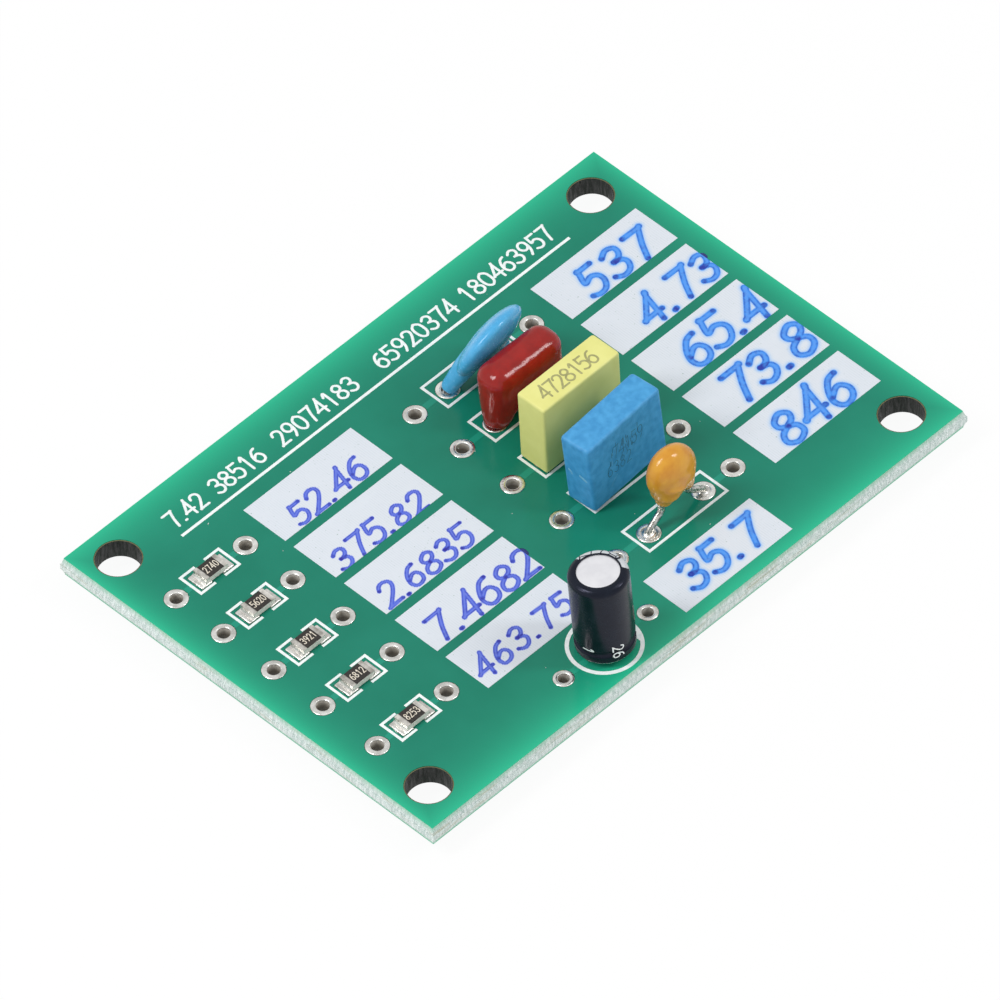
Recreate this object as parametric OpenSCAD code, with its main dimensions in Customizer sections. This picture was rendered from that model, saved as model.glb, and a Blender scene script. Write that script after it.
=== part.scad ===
// Resistance and capacitance standard board: a small printed circuit board
// that carries five chip resistors and six radial capacitors, each with a pair
// of plated test points and a white panel for its written value.
// Millimetres. Origin: centre of the four mounting holes, on the board's
// underside. +X runs along the title edge, +Y points to it, +Z is up.

/* [Board] */
// Length of the board's top face, along X
board_l = 49.5; // [48:0.1:56]
// Width of the board's top face, along Y
board_w = 34.3; // [33.5:0.1:42]
// Thickness of the finished board, solder mask included
board_t = 1.6; // [1.2:0.1:2.4]
// How far the snapped edge stands out past the top face
snap_out = 0.2; // [0.1:0.01:0.4]
// Depth of the scoring groove in each face
score_depth = 0.5; // [0.3:0.01:0.55]
// Share of the snapped edge's stand-out that the groove's slope takes
score_slope = 0.75; // [0.5:0.05:0.95]
// Thickness of the solder mask over bare laminate
mask_t = 0.06; // [0.05:0.005:0.1]
// Thickness of the copper foil under the mask
copper_t = 0.035; // [0.02:0.005:0.045]
// Thickness of the white screen printing
silk_t = 0.02; // [0.01:0.005:0.05]

/* [Mounting holes] */
// Diameter of each mounting hole
hole_d = 3.1; // [2.6:0.1:3.4]
// Left holes' distance from the top face's left edge
hole_in_left = 2.45; // [2.2:0.05:4]
// Right holes' distance from the right edge
hole_in_right = 2.95; // [2.2:0.05:4]
// Upper holes' distance from the title edge
hole_in_top = 2.64; // [2.2:0.01:4]
// Lower holes' distance from the bottom edge
hole_in_bottom = 2.79; // [2.2:0.01:4]
// Ring of bare laminate left round each mounting hole
hole_bare = 0.1; // [0.05:0.05:0.3]

/* [Rows] */
// Row 1, nearest to the title, along Y
row_1_y = 9.1; // [8.6:0.01:9.2]
// Row 2 along Y
row_2_y = 4.67; // [4.3:0.01:5]
// Row 3 along Y
row_3_y = 0; // [-0.3:0.01:0.3]
// Row 4 along Y
row_4_y = -4.56; // [-4.9:0.01:-4.3]
// Row 5 along Y
row_5_y = -9.6; // [-9.7:0.01:-9.3]
// How far the screen printing sits off the rows
silk_shift = 0.1; // [0:0.01:0.15]

/* [Plated holes] */
// Outer diameter of each test point's ring
test_ring_d = 1.62; // [1.4:0.01:1.8]
// Finished hole in each test point
test_hole_d = 0.93; // [0.7:0.01:1.1]
// Outer diameter of the electrolytic capacitor's rings
small_ring_d = 1.38; // [1.2:0.01:1.5]
// Finished hole in the electrolytic capacitor's rings
small_hole_d = 0.82; // [0.7:0.01:0.95]
// Thickness of the plated wall
plating_t = 0.05; // [0.03:0.01:0.1]
// How far the tinned rings stand proud of the mask
ring_proud = 0.012; // [0.005:0.001:0.03]
// Gap between the solder mask and each ring or land
mask_gap = 0.05; // [0.02:0.01:0.1]
// Width of each copper track
track_w = 0.5; // [0.3:0.05:0.8]

/* [Chip resistors] */
// Chips' distance from the left mounting holes, along X
chip_in = 3.29; // [3:0.01:4.5]
// Distance between a chip's two test points
chip_test_pitch = 6.37; // [6.2:0.01:7]
// Length of a chip
chip_l = 2; // [1.8:0.01:2.1]
// Width of a chip
chip_w = 1.25; // [1:0.01:1.35]
// Height of a chip
chip_t = 0.5; // [0.4:0.01:0.6]
// Length of each end cap on top of the chip
cap_l = 0.35; // [0.25:0.01:0.45]
// Thickness of the end caps' metal
cap_t = 0.05; // [0.03:0.005:0.08]
// How far the overcoat stands above the end caps
coat_proud = 0.03; // [0.01:0.005:0.06]
// Thickness of the resistive film
film_t = 0.02; // [0.01:0.005:0.03]
// Overcoat's inset from each side of the chip
coat_in = 0.03; // [0.02:0.005:0.08]
// Film's inset from each side of the chip
film_in = 0.175; // [0.1:0.005:0.25]
// Length of each copper land, along X
land_l = 0.95; // [0.8:0.01:1.05]
// Width of each copper land
land_w = 1.4; // [1.3:0.01:1.5]
// Gap between a chip's two lands
land_gap = 1; // [0.85:0.01:1.1]
// Solder film under each end cap
solder_film = 0.04; // [0.02:0.005:0.08]
// Height of the solder fillet on each end face
fillet_h = 0.36; // [0.2:0.01:0.42]
// Radius of the solder's outer corners on the land
fillet_corner = 0.2; // [0.1:0.01:0.3]

/* [Screen printing] */
// Width of the outline strokes
silk_line = 0.2; // [0.15:0.01:0.3]
// Overall length of a chip's outline
chip_box_l = 3.7; // [3.4:0.01:3.9]
// Overall width of a chip's outline
chip_box_w = 2.17; // [2:0.01:2.6]
// Opening in the middle of a chip's outline
chip_box_gap = 0.87; // [0.6:0.01:1.2]
// Overall length of a capacitor's outline
cap_box_l = 7.44; // [7:0.01:7.8]
// Overall width of a capacitor's outline
cap_box_w = 2.7; // [2.4:0.01:3]
// Length of a label panel
panel_l = 9.95; // [8:0.05:10.2]
// Width of a label panel
panel_w = 3.95; // [3.5:0.05:4.3]
// Distance between label panels in a column
panel_pitch = 4.71; // [4.6:0.01:4.75]
// Gap from the chips' test points to their panels
chip_panel_gap = 1.25; // [0.8:0.01:1.6]
// Gap from the capacitors' test points to their panels
cap_panel_gap = 1.37; // [0.8:0.01:1.5]
// Gap from the electrolytic's test point to its panel
can_panel_gap = 1.02; // [0.6:0.01:1.4]
// Electrolytic's panel: centre above the bottom edge
can_panel_up = 2.95; // [2.9:0.01:3.05]
// Length of the rule under the title
rule_l = 36.2; // [30:0.1:40]
// Width of that rule
rule_w = 0.22; // [0.15:0.01:0.4]
// Rule's distance below the upper mounting holes
rule_down = 1.79; // [1.6:0.01:1.9]

/* [Capacitor column] */
// Lead holes' centre, along X
cap_x = 5.75; // [5.5:0.01:6]
// Test points' centre, left of the lead holes' centre
cap_test_shift = 0.12; // [0:0.01:0.3]
// Distance between a capacitor's two lead holes
lead_pitch = 5.08; // [5:0.01:5.2]
// Distance between a capacitor's two test points
cap_test_pitch = 10.94; // [10.6:0.01:11.2]
// Diameter of the tinned leads
lead_d = 0.5; // [0.4:0.01:0.6]
// How deep a lead sinks into the end metal that it is soldered to
lead_sink = 0.1; // [0.05:0.01:0.15]
// Solder between a lead and the electrode that it lies on
lead_skin = 0.02; // [0.01:0.005:0.04]
// How far a foot's joins stay inside a dipped coating's skin
coat_skin = 0.02; // [0.02:0.005:0.04]
// Length of trimmed lead below the board
lead_stub = 1.1; // [0.8:0.05:1.6]
// Height of the solder cone below each ring
joint_h = 0.8; // [0.5:0.05:1]
// Height of the solder rise above each ring
joint_rise = 0.14; // [0.05:0.01:0.25]
// Share of a ring's radius that its solder cone covers
joint_cover = 0.92; // [0.8:0.01:0.96]
// Solder left round the lead at a cone's tip
joint_skin = 0.04; // [0.02:0.01:0.08]
// Reach of the solder rise past the hole's edge
joint_reach = 0.12; // [0.05:0.01:0.2]
// Gap between the solder in a hole and a coating above it
coat_gap = 0.05; // [0.02:0.01:0.1]
// How far the film capacitor's solder stops below the top face
low_solder = 0.1; // [0.05:0.01:0.3]
// How far a lead reaches up its sprayed end, past the middle
lead_up = 0.8; // [0.4:0.05:1.1]

/* [Disc capacitor] */
// Radius of the dipped disc
disc_r = 3.1; // [2.8:0.01:3.3]
// Thickness of the dipped disc at its middle
disc_t = 1.8; // [1.7:0.01:2.2]
// Height of the disc's centre, along its leads
disc_up = 3.5; // [3.3:0.01:3.8]
// Lean towards the row below
disc_lean = 20.6; // [15:0.1:24]
// Turn about the vertical
disc_turn = 8.5; // [0:0.1:10]
// Radius of the ceramic disc inside
ceramic_r = 2.3; // [2:0.05:2.5]
// Thickness of the ceramic disc
ceramic_t = 0.5; // [0.3:0.01:0.6]
// Thickness of each silver electrode
electrode_t = 0.05; // [0.03:0.01:0.08]
// Radius of the coating where it runs down a lead into its hole
skirt_r = 0.4; // [0.35:0.01:0.42]
// How deep the skirt runs into its hole
skirt_in = 0.2; // [0.1:0.01:0.4]
// Radius of the coating where a skirt leaves the disc
skirt_top_r = 0.74; // [0.6:0.01:0.78]
// Where a skirt leaves the disc: out from its middle
skirt_out = 1.62; // [1.5:0.01:1.9]
// Where a skirt leaves the disc: below its middle
skirt_down = 1.1; // [1:0.01:1.4]
// Straight length of lead above the board
disc_lead_rise = 0.15; // [0.1:0.01:0.3]
// Height at which a lead reaches its electrode
disc_lead_bend = 1.5; // [1.3:0.01:1.7]
// Distance of a lead's end from the disc's middle line
disc_lead_end = 0.9; // [0.6:0.01:1.2]
// Inset of a lead and of the electrode from the ceramic's edge
electrode_in = 0.2; // [0.1:0.01:0.3]
// Power that shapes the lens: one gives an ellipse, less is blunter
lens_power = 0.8; // [0.7:0.05:1]

/* [Dipped film capacitor] */
// Length of the dipped body, along X
dip_l = 6.5; // [6.2:0.01:7.4]
// Thickness of the body
dip_w = 2.75; // [2.5:0.01:3]
// Top of the body above the board
dip_top = 5.2; // [4.8:0.01:6]
// Underside of the body above the board
dip_bottom = 0.5; // [0.4:0.01:1]
// Radius of the body's rounded edges
dip_round = 1.1; // [0.8:0.01:1.2]
// How much narrower the body is along its lower edge
dip_taper = 0.36; // [0.1:0.01:0.4]
// Radius of the coating's foot on each lead
dip_foot_r = 0.76; // [0.7:0.01:0.9]
// Radius of that foot where it sits over its ring
dip_sole_r = 0.62; // [0.5:0.01:0.68]
// Gap between the foot and its ring
dip_gap = 0.05; // [0.02:0.01:0.15]
// How far the body sits left of its lead holes' centre
dip_left = 0.05; // [0:0.01:0.2]
// Height above the body's lower edge from which a foot grows
dip_foot_up = 0.25; // [0.1:0.01:0.4]
// Thickness of the wound element
dip_core_w = 1.4; // [1.1:0.01:1.5]
// Height of the wound element
dip_core_h = 2.9; // [2.4:0.01:3]

/* [Boxed film capacitors] */
// Length of a boxed capacitor's case
case_l = 7.2; // [7:0.01:7.4]
// Thickness of its case
case_w = 2.5; // [2.4:0.01:2.7]
// Height of the yellow case
yellow_h = 6.15; // [5.6:0.01:7]
// Gap under the yellow case
case_lift = 0.1; // [0:0.01:0.25]
// Height of the blue case
blue_h = 5.95; // [5.6:0.01:7]
// Wall of each case
case_wall = 0.4; // [0.3:0.01:0.45]
// Rounding of the yellow case's edges
yellow_round = 0.16; // [0.1:0.01:0.25]
// Rounding of the blue case's edges
blue_round = 0.24; // [0.15:0.01:0.3]
// Depth of the epoxy below the case's rim
pot_recess = 0.25; // [0.15:0.01:0.4]
// Height of the flat-wound element
core_h = 4.2; // [3.6:0.05:4.4]
// Thickness of the flat-wound element
core_w = 1.2; // [1:0.05:1.4]
// Depth of epoxy below the flat-wound element
core_up = 0.55; // [0.4:0.01:0.8]
// Thickness of the sprayed metal on each end
spray_t = 0.3; // [0.2:0.01:0.35]
// Lean of the blue case
blue_lean = 3.1; // [0:0.1:4]
// Turn of the blue case
blue_turn = 3; // [0:0.1:4]
// How far the blue case sits left of its lead holes' centre
blue_left = 0.23; // [0:0.01:0.3]
// How far the blue case sits above its row, along Y
blue_y_off = 0.1; // [0:0.01:0.2]
// How far the yellow case sits right of its lead holes' centre
yellow_right = 0.1; // [0:0.01:0.2]
// How far the yellow case sits above its row, along Y
yellow_y_off = 0.15; // [0:0.01:0.2]
// Turn of the yellow case
yellow_turn = 0.5; // [0:0.1:1]

/* [Multilayer capacitor] */
// Overall height of the dipped drop above the board
drop_top = 6.3; // [5.8:0.01:6.6]
// Radius of the drop's shoulders
drop_r = 1.2; // [1.1:0.01:1.3]
// Distance between the drop's shoulders
drop_spread = 1.5; // [1.3:0.01:1.9]
// Length of the ceramic chip inside
mlcc_l = 2.1; // [1.9:0.01:2.15]
// Thickness of the ceramic chip
mlcc_w = 1; // [0.8:0.01:1.2]
// Height of the ceramic chip
mlcc_h = 1.25; // [1:0.01:1.4]
// Thickness of the chip's end metal
mlcc_end = 0.2; // [0.1:0.01:0.3]
// How far the drop sits left of its lead holes' centre
drop_left = 0.09; // [0:0.01:0.15]
// Shoulders' centres below the drop's crown
shoulder_down = 1.95; // [1.8:0.01:2.1]
// Ceramic chip's middle below the drop's top
mlcc_down = 2.4; // [2.2:0.01:2.6]
// Height above the board at which a lead turns straight up
drop_lead_bend = 1.35; // [1.2:0.01:1.5]
// Radius of the coating where it ends on a lead
drop_foot_r = 0.48; // [0.4:0.01:0.55]
// Height of the left foot's ball above the board
drop_foot_left = 1.85; // [1.7:0.01:2]
// Height of the right foot's ball above the board
drop_foot_right = 2.15; // [2:0.01:2.3]
// How far a lead runs up past the chip's middle
drop_lead_up = 0.3; // [0.1:0.01:0.5]

/* [Electrolytic capacitor] */
// Centre of its footprint, along X
can_x = -5.67; // [-5.8:0.01:-5.5]
// Centre of its footprint above the bottom edge
can_up = 2.82; // [2.8:0.01:3]
// Diameter of the bare can
can_d = 4; // [3.8:0.01:4.2]
// Length of the can
can_h = 7; // [6:0.05:8]
// Thickness of the can's metal
can_t = 0.2; // [0.15:0.01:0.25]
// Radius of the can's shoulder
can_round = 0.4; // [0.3:0.01:0.5]
// Depth of the crimped groove
groove_depth = 0.18; // [0.1:0.01:0.25]
// Height of the groove above the can's base
groove_up = 1.05; // [0.9:0.01:1.2]
// Thickness of the shrunk sleeve
sleeve_t = 0.06; // [0.04:0.01:0.1]
// Diameter of bare metal that the sleeve leaves on top
bare_top_d = 2.9; // [2.6:0.01:3.2]
// Height of the rubber bung
bung_h = 1.6; // [1.5:0.05:1.8]
// Diameter of the wound element
roll_d = 3.1; // [2.8:0.05:3.4]
// Diameter of its leads
can_lead_d = 0.45; // [0.4:0.01:0.5]
// Diameter of the leads' aluminium stubs in the bung
stub_d = 0.8; // [0.7:0.05:1]
// Distance between its leads at the bung
can_lead_pitch = 1.5; // [1.4:0.05:1.6]
// Distance between its two lead holes
can_hole_pitch = 2; // [1.9:0.05:2.2]
// Distance between its two test points
can_test_pitch = 7.82; // [7.6:0.01:8.2]
// Gap from the board to the can
can_lift = 0.3; // [0.2:0.01:0.5]
// Radius of the can's rolled base
rim_z = 0.28; // [0.22:0.01:0.35]
// Half height of the crimped groove
groove_half = 0.32; // [0.25:0.01:0.4]
// Inset of the rubber bung from the rolled base
bung_in = 0.12; // [0.08:0.01:0.2]
// How far the bung's base sits inside the can
bung_up = 0.08; // [0.05:0.01:0.12]
// Gap between the wound element and the can's top
roll_gap = 0.3; // [0.2:0.01:0.5]
// Core hole of the wound element
roll_hole_d = 0.5; // [0.4:0.01:0.7]
// Thickness of the leads' flat tabs
tab_t = 0.16; // [0.1:0.01:0.2]
// Width of the flat tabs
tab_w = 0.6; // [0.5:0.01:0.75]
// Length of the flat tabs
tab_l = 2.1; // [1.5:0.05:2.5]
// How far a stub reaches out of the can's base
stub_out = 0.05; // [0.03:0.01:0.1]
// Lean of the can
can_lean = 1.9; // [0:0.1:3]
// Overall diameter of its printed circle
circle_d = 5.24; // [5:0.01:5.8]
// Width of the printed circle's stroke
circle_line = 0.28; // [0.2:0.01:0.35]
// Half angle of the circle's filled segment, in degrees
segment_half = 39; // [30:1:50]

/* [Hidden] */
$fn = 48;
soft_fn = 20;
wire_fn = 16;
round_fn = 64;
eps = 0.01;
bar_seam = 33;
elbow_seam = [25, 35, 0];
elbow = 1.06;
lean_back = 135;

CAPACITORS = [
    "disc_capacitor_coating", "disc_capacitor_dielectric", "disc_capacitor_electrodes",
    "disc_capacitor_leads",
    "film_capacitor_coating", "film_capacitor_winding", "film_capacitor_end_spray",
    "film_capacitor_leads",
    "yellow_capacitor_case", "yellow_capacitor_potting", "yellow_capacitor_winding",
    "yellow_capacitor_end_spray", "yellow_capacitor_leads",
    "blue_capacitor_case", "blue_capacitor_potting", "blue_capacitor_winding",
    "blue_capacitor_end_spray", "blue_capacitor_leads",
    "multilayer_capacitor_coating", "multilayer_capacitor_chip",
    "multilayer_capacitor_end_metal", "multilayer_capacitor_leads",
    "electrolytic_capacitor_sleeve", "electrolytic_capacitor_can",
    "electrolytic_capacitor_bung", "electrolytic_capacitor_winding",
    "electrolytic_capacitor_leads"
];

// Hole pattern and outline, which share the top face's edges
hole_x = (board_l - hole_in_left - hole_in_right) / 2;
hole_y = (board_w - hole_in_top - hole_in_bottom) / 2;
edge_left = -hole_x - hole_in_left;
edge_right = hole_x + hole_in_right;
edge_top = hole_y + hole_in_top;
edge_bottom = -hole_y - hole_in_bottom;

// Levels through the board
lam_low = mask_t;
lam_high = board_t - mask_t;
land_top = lam_high + copper_t;
ring_top = board_t + ring_proud;
ring_low = -ring_proud;
silk_top = board_t + silk_t;

// Places of the test points, lead holes and parts
row_y = [row_1_y, row_2_y, row_3_y, row_4_y, row_5_y];
chip_x = -hole_x + chip_in;
can_y = edge_bottom + can_up;
cap_test_x = cap_x - cap_test_shift;
function pair(x, y, pitch) = [[x - pitch / 2, y], [x + pitch / 2, y]];
chip_tests = [for (y = row_y) each pair(chip_x, y, chip_test_pitch)];
cap_tests = [for (y = row_y) each pair(cap_test_x, y, cap_test_pitch)];
can_tests = pair(can_x, can_y, can_test_pitch);
cap_holes = [for (y = row_y) each pair(cap_x, y, lead_pitch)];
can_holes = pair(can_x, can_y, can_hole_pitch);

// Label panels: left ends of the two columns and of the electrolytic's panel
chip_panel_x = chip_x + chip_test_pitch / 2 + test_ring_d / 2 + chip_panel_gap;
cap_panel_x = cap_test_x + cap_test_pitch / 2 + test_ring_d / 2 + cap_panel_gap;
can_panel_x = can_x + can_test_pitch / 2 + small_ring_d / 2 + can_panel_gap;
panel_rows = [for (i = [2, 1, 0, -1, -2]) i * panel_pitch];

// Chip resistors
chip_low = land_top + solder_film;
chip_high = chip_low + chip_t;
body_high = chip_high - cap_t;
coat_l = chip_l - 2 * cap_l;
coat_w = chip_w - 2 * coat_in;
film_w = chip_w - 2 * film_in;
land_end = land_gap / 2 + land_l;

// Top of the solder, foot of the disc's coating, half length of a film element
// and lift that keeps the leaning case off the board
joint_top = ring_top + joint_rise;
disc_foot_z = board_t - skirt_in;
core_end = lead_pitch / 2 - lead_d / 2 + lead_sink;
blue_lift = (case_l + case_w) / 2 * sin(45) * sin(blue_lean);

// Poses: where a part stands, its turn, its lean and which way it leans
disc_pose = [[cap_x, row_1_y, board_t], disc_turn, disc_lean, disc_turn - 90];
blue_pose = [[cap_x - blue_left, row_4_y + blue_y_off, silk_top + blue_lift],
    blue_turn, blue_lean, lean_back];
can_pose = [[can_x, can_y, board_t + can_lift], 0, can_lean, lean_back];
yellow_pose = [[cap_x + yellow_right, row_3_y + yellow_y_off, silk_top + case_lift],
    yellow_turn, 0, 0];
function turned(p, a) = [p.x * cos(a) - p.y * sin(a), p.x * sin(a) + p.y * cos(a), p.z];
function tipped(p, a) = [p.x * cos(a) + p.z * sin(a), p.y, p.z * cos(a) - p.x * sin(a)];
function placed(pose, p) =
    pose[0] + turned(tipped(turned(p, pose[1] - pose[3]), pose[2]), pose[3]);
module stand(pose)
    translate(pose[0]) rotate([0, 0, pose[3]]) rotate([0, pose[2], 0])
        rotate([0, 0, pose[1] - pose[3]]) children();

// Points on an arc about a centre
function arc(c, r, from, to, steps) =
    [for (i = [0:steps]) let (a = from + (to - from) * i / steps) c + r * [cos(a), sin(a)]];

// Round bar from a to b
module bar(a, b, d) {
    v = b - a;
    translate(a) rotate([0, acos(v.z / norm(v)), atan2(v.y, v.x)]) rotate([0, 0, bar_seam])
        cylinder(h = norm(v), d = d);
}

// Bent wire through a list of points, a little fuller at its elbows
module wire(points, d) {
    for (i = [1:len(points) - 1]) bar(points[i - 1], points[i], d);
    for (i = [1:1:len(points) - 2]) translate(points[i]) rotate(elbow_seam) sphere(d = elbow * d);
}

// Wire with soft bends, from balls joined in a chain
module soft_wire(points, d)
    for (i = [1:len(points) - 1]) hull() {
        translate(points[i - 1]) sphere(d = d, $fn = wire_fn);
        translate(points[i]) sphere(d = d, $fn = wire_fn);
    }

// Both leads of a part whose element stands straight over its holes
module upright_leads(y, top) for (s = [-1, 1])
    translate([cap_x + s * lead_pitch / 2, y, -lead_stub]) cylinder(h = top + lead_stub, d = lead_d);

// Flat-wound element: a rectangle with round ends, drawn out along X
module flat_roll(l, w, h) rotate([90, 0, 90]) linear_extrude(l, center = true) {
    square([w, h - w], center = true);
    for (s = [-1, 1]) translate([0, s * (h - w) / 2]) circle(d = w);
}

// Two balls with a straight skin between them
module blend(a, ra, b, rb) {
    hull() {
        translate(a) sphere(r = ra, $fn = soft_fn);
        translate(b) sphere(r = rb, $fn = soft_fn);
    }
}

module box_at(x1, x2, y1, y2, z1, z2)
    translate([x1, y1, z1]) cube([x2 - x1, y2 - y1, z2 - z1]);

module discs(spots, d) for (p = spots) translate(p) circle(d = d);

module mounting_circles(d)
    for (x = [-hole_x, hole_x], y = [-hole_y, hole_y]) translate([x, y]) circle(d = d);

module top_face()
    translate([edge_left, edge_bottom]) square([board_l, board_w]);

// Board

// Half of the edge's cross-section, from the middle of one edge to the other
function edge_profile(low, high) = let (
        slope_out = snap_out * score_slope,
        web_low = lam_low + score_depth,
        web_high = lam_high - score_depth
    ) [
        [low, lam_low], [high, lam_low], [high + slope_out, web_low],
        [high + snap_out, web_low], [high + snap_out, web_high],
        [high + slope_out, web_high], [high, lam_high], [low, lam_high],
        [low - slope_out, web_high], [low - snap_out, web_high],
        [low - snap_out, web_low], [low - slope_out, web_low]
    ];

// Glass-epoxy core, scored and snapped out of its panel
module laminate_core() color("#c3d8b9") difference() {
    intersection() {
        translate([0, edge_top + snap_out + eps, 0]) rotate([90, 0, 0])
            linear_extrude(board_w + 2 * snap_out + 2 * eps)
                polygon(edge_profile(edge_left, edge_right));
        translate([edge_left - snap_out - eps, 0, 0]) rotate([90, 0, 90])
            linear_extrude(board_l + 2 * snap_out + 2 * eps)
                polygon(edge_profile(edge_bottom, edge_top));
    }
    translate([0, 0, -eps]) linear_extrude(board_t + 2 * eps) {
        mounting_circles(hole_d);
        discs(concat(chip_tests, cap_tests, cap_holes), test_hole_d + 2 * plating_t);
        discs(concat(can_tests, can_holes), small_hole_d + 2 * plating_t);
    }
}

module ring_shapes(extra) {
    discs(concat(chip_tests, cap_tests, cap_holes), test_ring_d + 2 * extra);
    discs(concat(can_tests, can_holes), small_ring_d + 2 * extra);
}

module land_shapes(extra)
    for (y = row_y, s = [-1, 1])
        translate([chip_x + s * (land_gap + land_l) / 2, y])
            square([land_l + 2 * extra, land_w + 2 * extra], center = true);

// A track between two spots on one row
module track(a, b)
    translate([a.x, a.y - track_w / 2]) square([b.x - a.x, track_w]);

module track_shapes() {
    for (i = [0:4]) {
        track(chip_tests[2 * i], [chip_x - land_gap / 2 - land_l, row_y[i]]);
        track([chip_x + land_end, row_y[i]], chip_tests[2 * i + 1]);
        track(cap_tests[2 * i], cap_holes[2 * i]);
        track(cap_holes[2 * i + 1], cap_tests[2 * i + 1]);
    }
    track(can_tests[0], can_holes[0]);
    track(can_holes[1], can_tests[1]);
}

// Copper foil: chip lands and the tracks to the test points
module copper_tracks() color("#b87333")
    translate([0, 0, lam_high]) linear_extrude(copper_t) difference() {
        union() {
            land_shapes(0);
            track_shapes();
        }
        ring_shapes(0);
    }

// Green solder mask on the top face, over the tracks
module solder_mask_top() color("#2d8b70") difference() {
    translate([0, 0, lam_high]) linear_extrude(mask_t) difference() {
        top_face();
        mounting_circles(hole_d + 2 * hole_bare);
        ring_shapes(mask_gap);
        land_shapes(mask_gap);
    }
    translate([0, 0, lam_high - eps]) linear_extrude(copper_t + eps) track_shapes();
}

// Green solder mask on the underside
module solder_mask_bottom() color("#2d8b70") linear_extrude(mask_t) difference() {
    top_face();
    mounting_circles(hole_d + 2 * hole_bare);
    ring_shapes(mask_gap);
}

module outline(l, w, line) difference() {
    square([l, w], center = true);
    square([l - 2 * line, w - 2 * line], center = true);
}

// Printed circle with the filled segment that marks the negative side
module can_circle() {
    inner = circle_d - 2 * circle_line;
    chord = inner / 2 * cos(segment_half);
    difference() {
        circle(d = circle_d, $fn = 96);
        difference() {
            circle(d = inner, $fn = 96);
            translate([chord, -inner]) square([inner, 2 * inner]);
        }
    }
}

// White printed outlines round the parts
module silkscreen_outlines() color("white")
    translate([0, 0, board_t]) linear_extrude(silk_t) {
        for (y = row_y) {
            translate([chip_x, y + silk_shift]) difference() {
                outline(chip_box_l, chip_box_w, silk_line);
                square([chip_box_gap, chip_box_w + eps], center = true);
            }
            translate([cap_x, y + silk_shift]) outline(cap_box_l, cap_box_w, silk_line);
        }
        translate([can_x, can_y + silk_shift]) can_circle();
    }

module panel(x, y) translate([x, y - panel_w / 2]) square([panel_l, panel_w]);

// White printed panels that take a written value
module silkscreen_label_panels() color("#dde3ee")
    translate([0, 0, board_t]) linear_extrude(silk_t) {
        for (y = panel_rows) {
            panel(chip_panel_x, y);
            panel(cap_panel_x, y);
        }
        panel(can_panel_x, edge_bottom + can_panel_up);
    }

// White printed rule under the title
module silkscreen_title_rule() color("white")
    translate([(edge_left + edge_right) / 2 - rule_l / 2, hole_y - rule_down, board_t])
        linear_extrude(silk_t) square([rule_l, rule_w]);

// Plated hole with a tinned ring on each face
module barrel(ring_d, hole_d) difference() {
    union() {
        translate([0, 0, ring_low]) cylinder(h = lam_low - ring_low, d = ring_d);
        translate([0, 0, lam_high]) cylinder(h = ring_top - lam_high, d = ring_d);
        translate([0, 0, lam_low]) cylinder(h = lam_high - lam_low, d = hole_d + 2 * plating_t);
    }
    translate([0, 0, ring_low - eps]) cylinder(h = ring_top - ring_low + 2 * eps, d = hole_d);
}

module test_point_barrels() color("#d8d2c8") {
    for (p = concat(chip_tests, cap_tests)) translate(p) barrel(test_ring_d, test_hole_d);
    for (p = can_tests) translate(p) barrel(small_ring_d, small_hole_d);
}

module lead_hole_barrels() color("#d8d2c8") {
    for (p = cap_holes) translate(p) barrel(test_ring_d, test_hole_d);
    for (p = can_holes) translate(p) barrel(small_ring_d, small_hole_d);
}

// Solder

// One end's solder: a film under the end cap and a hollow fillet up its face
module chip_fillet() {
    reach = land_end - chip_l / 2;
    rise = solder_film + fillet_h;
    c = fillet_corner;
    hollow = [for (i = [0:6]) let (a = 90 * i / 6)
        [chip_l / 2 + reach * (1 - sin(a)), rise * (1 - cos(a))]];
    intersection() {
        translate([0, chip_w / 2, land_top]) rotate([90, 0, 0]) linear_extrude(chip_w)
            polygon(concat(
                [[chip_l / 2 - cap_l, 0]], hollow,
                [[chip_l / 2, solder_film], [chip_l / 2 - cap_l, solder_film]]
            ));
        translate([0, 0, land_top - eps]) linear_extrude(chip_t) {
            translate([0, -chip_w / 2]) square([land_end - c, chip_w]);
            translate([0, c - chip_w / 2]) square([land_end, chip_w - 2 * c]);
            for (s = [-1, 1]) translate([land_end - c, s * (chip_w / 2 - c)]) circle(r = c);
        }
    }
}

module chip_solder_fillets() color("silver")
    for (y = row_y) translate([chip_x, y, 0]) {
        chip_fillet();
        mirror([1, 0, 0]) chip_fillet();
    }

// Solder cone below one plated hole, from its tip up to the ring
function joint_below(ring_d, lead_d) = let (
        foot = ring_d / 2 * joint_cover,
        tip = lead_d / 2 + joint_skin
    ) [for (i = [0:6]) let (a = 90 * i / 6)
        [tip + (foot - tip) * (1 - cos(a)), ring_low - joint_h * (1 - sin(a))]];

// Low solder rise round the lead on the top face
function joint_above(hole_d, lead_d) = let (
        crown = hole_d / 2 + joint_reach,
        tip = lead_d / 2 + joint_skin
    ) [for (i = [0:4]) let (a = 90 * i / 4)
        [tip + (crown - tip) * (1 - sin(a)), ring_top + joint_rise * (1 - cos(a))]];

// Joint whose bore has radius r: zero for one that a leaning lead is cut from
module full_joint(r, ring_d, hole_d, lead_d) rotate_extrude() polygon(concat(
    [[r, ring_low - joint_h]], joint_below(ring_d, lead_d),
    [[hole_d / 2, ring_low], [hole_d / 2, ring_top]],
    joint_above(hole_d, lead_d), [[r, ring_top + joint_rise]]
));

// Joint that stops inside the hole, below a coating that reaches down to it
module low_joint(top) rotate_extrude() polygon(concat(
    [[lead_d / 2, ring_low - joint_h]], joint_below(test_ring_d, lead_d),
    [[test_hole_d / 2, ring_low], [test_hole_d / 2, top], [lead_d / 2, top]]
));

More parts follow.
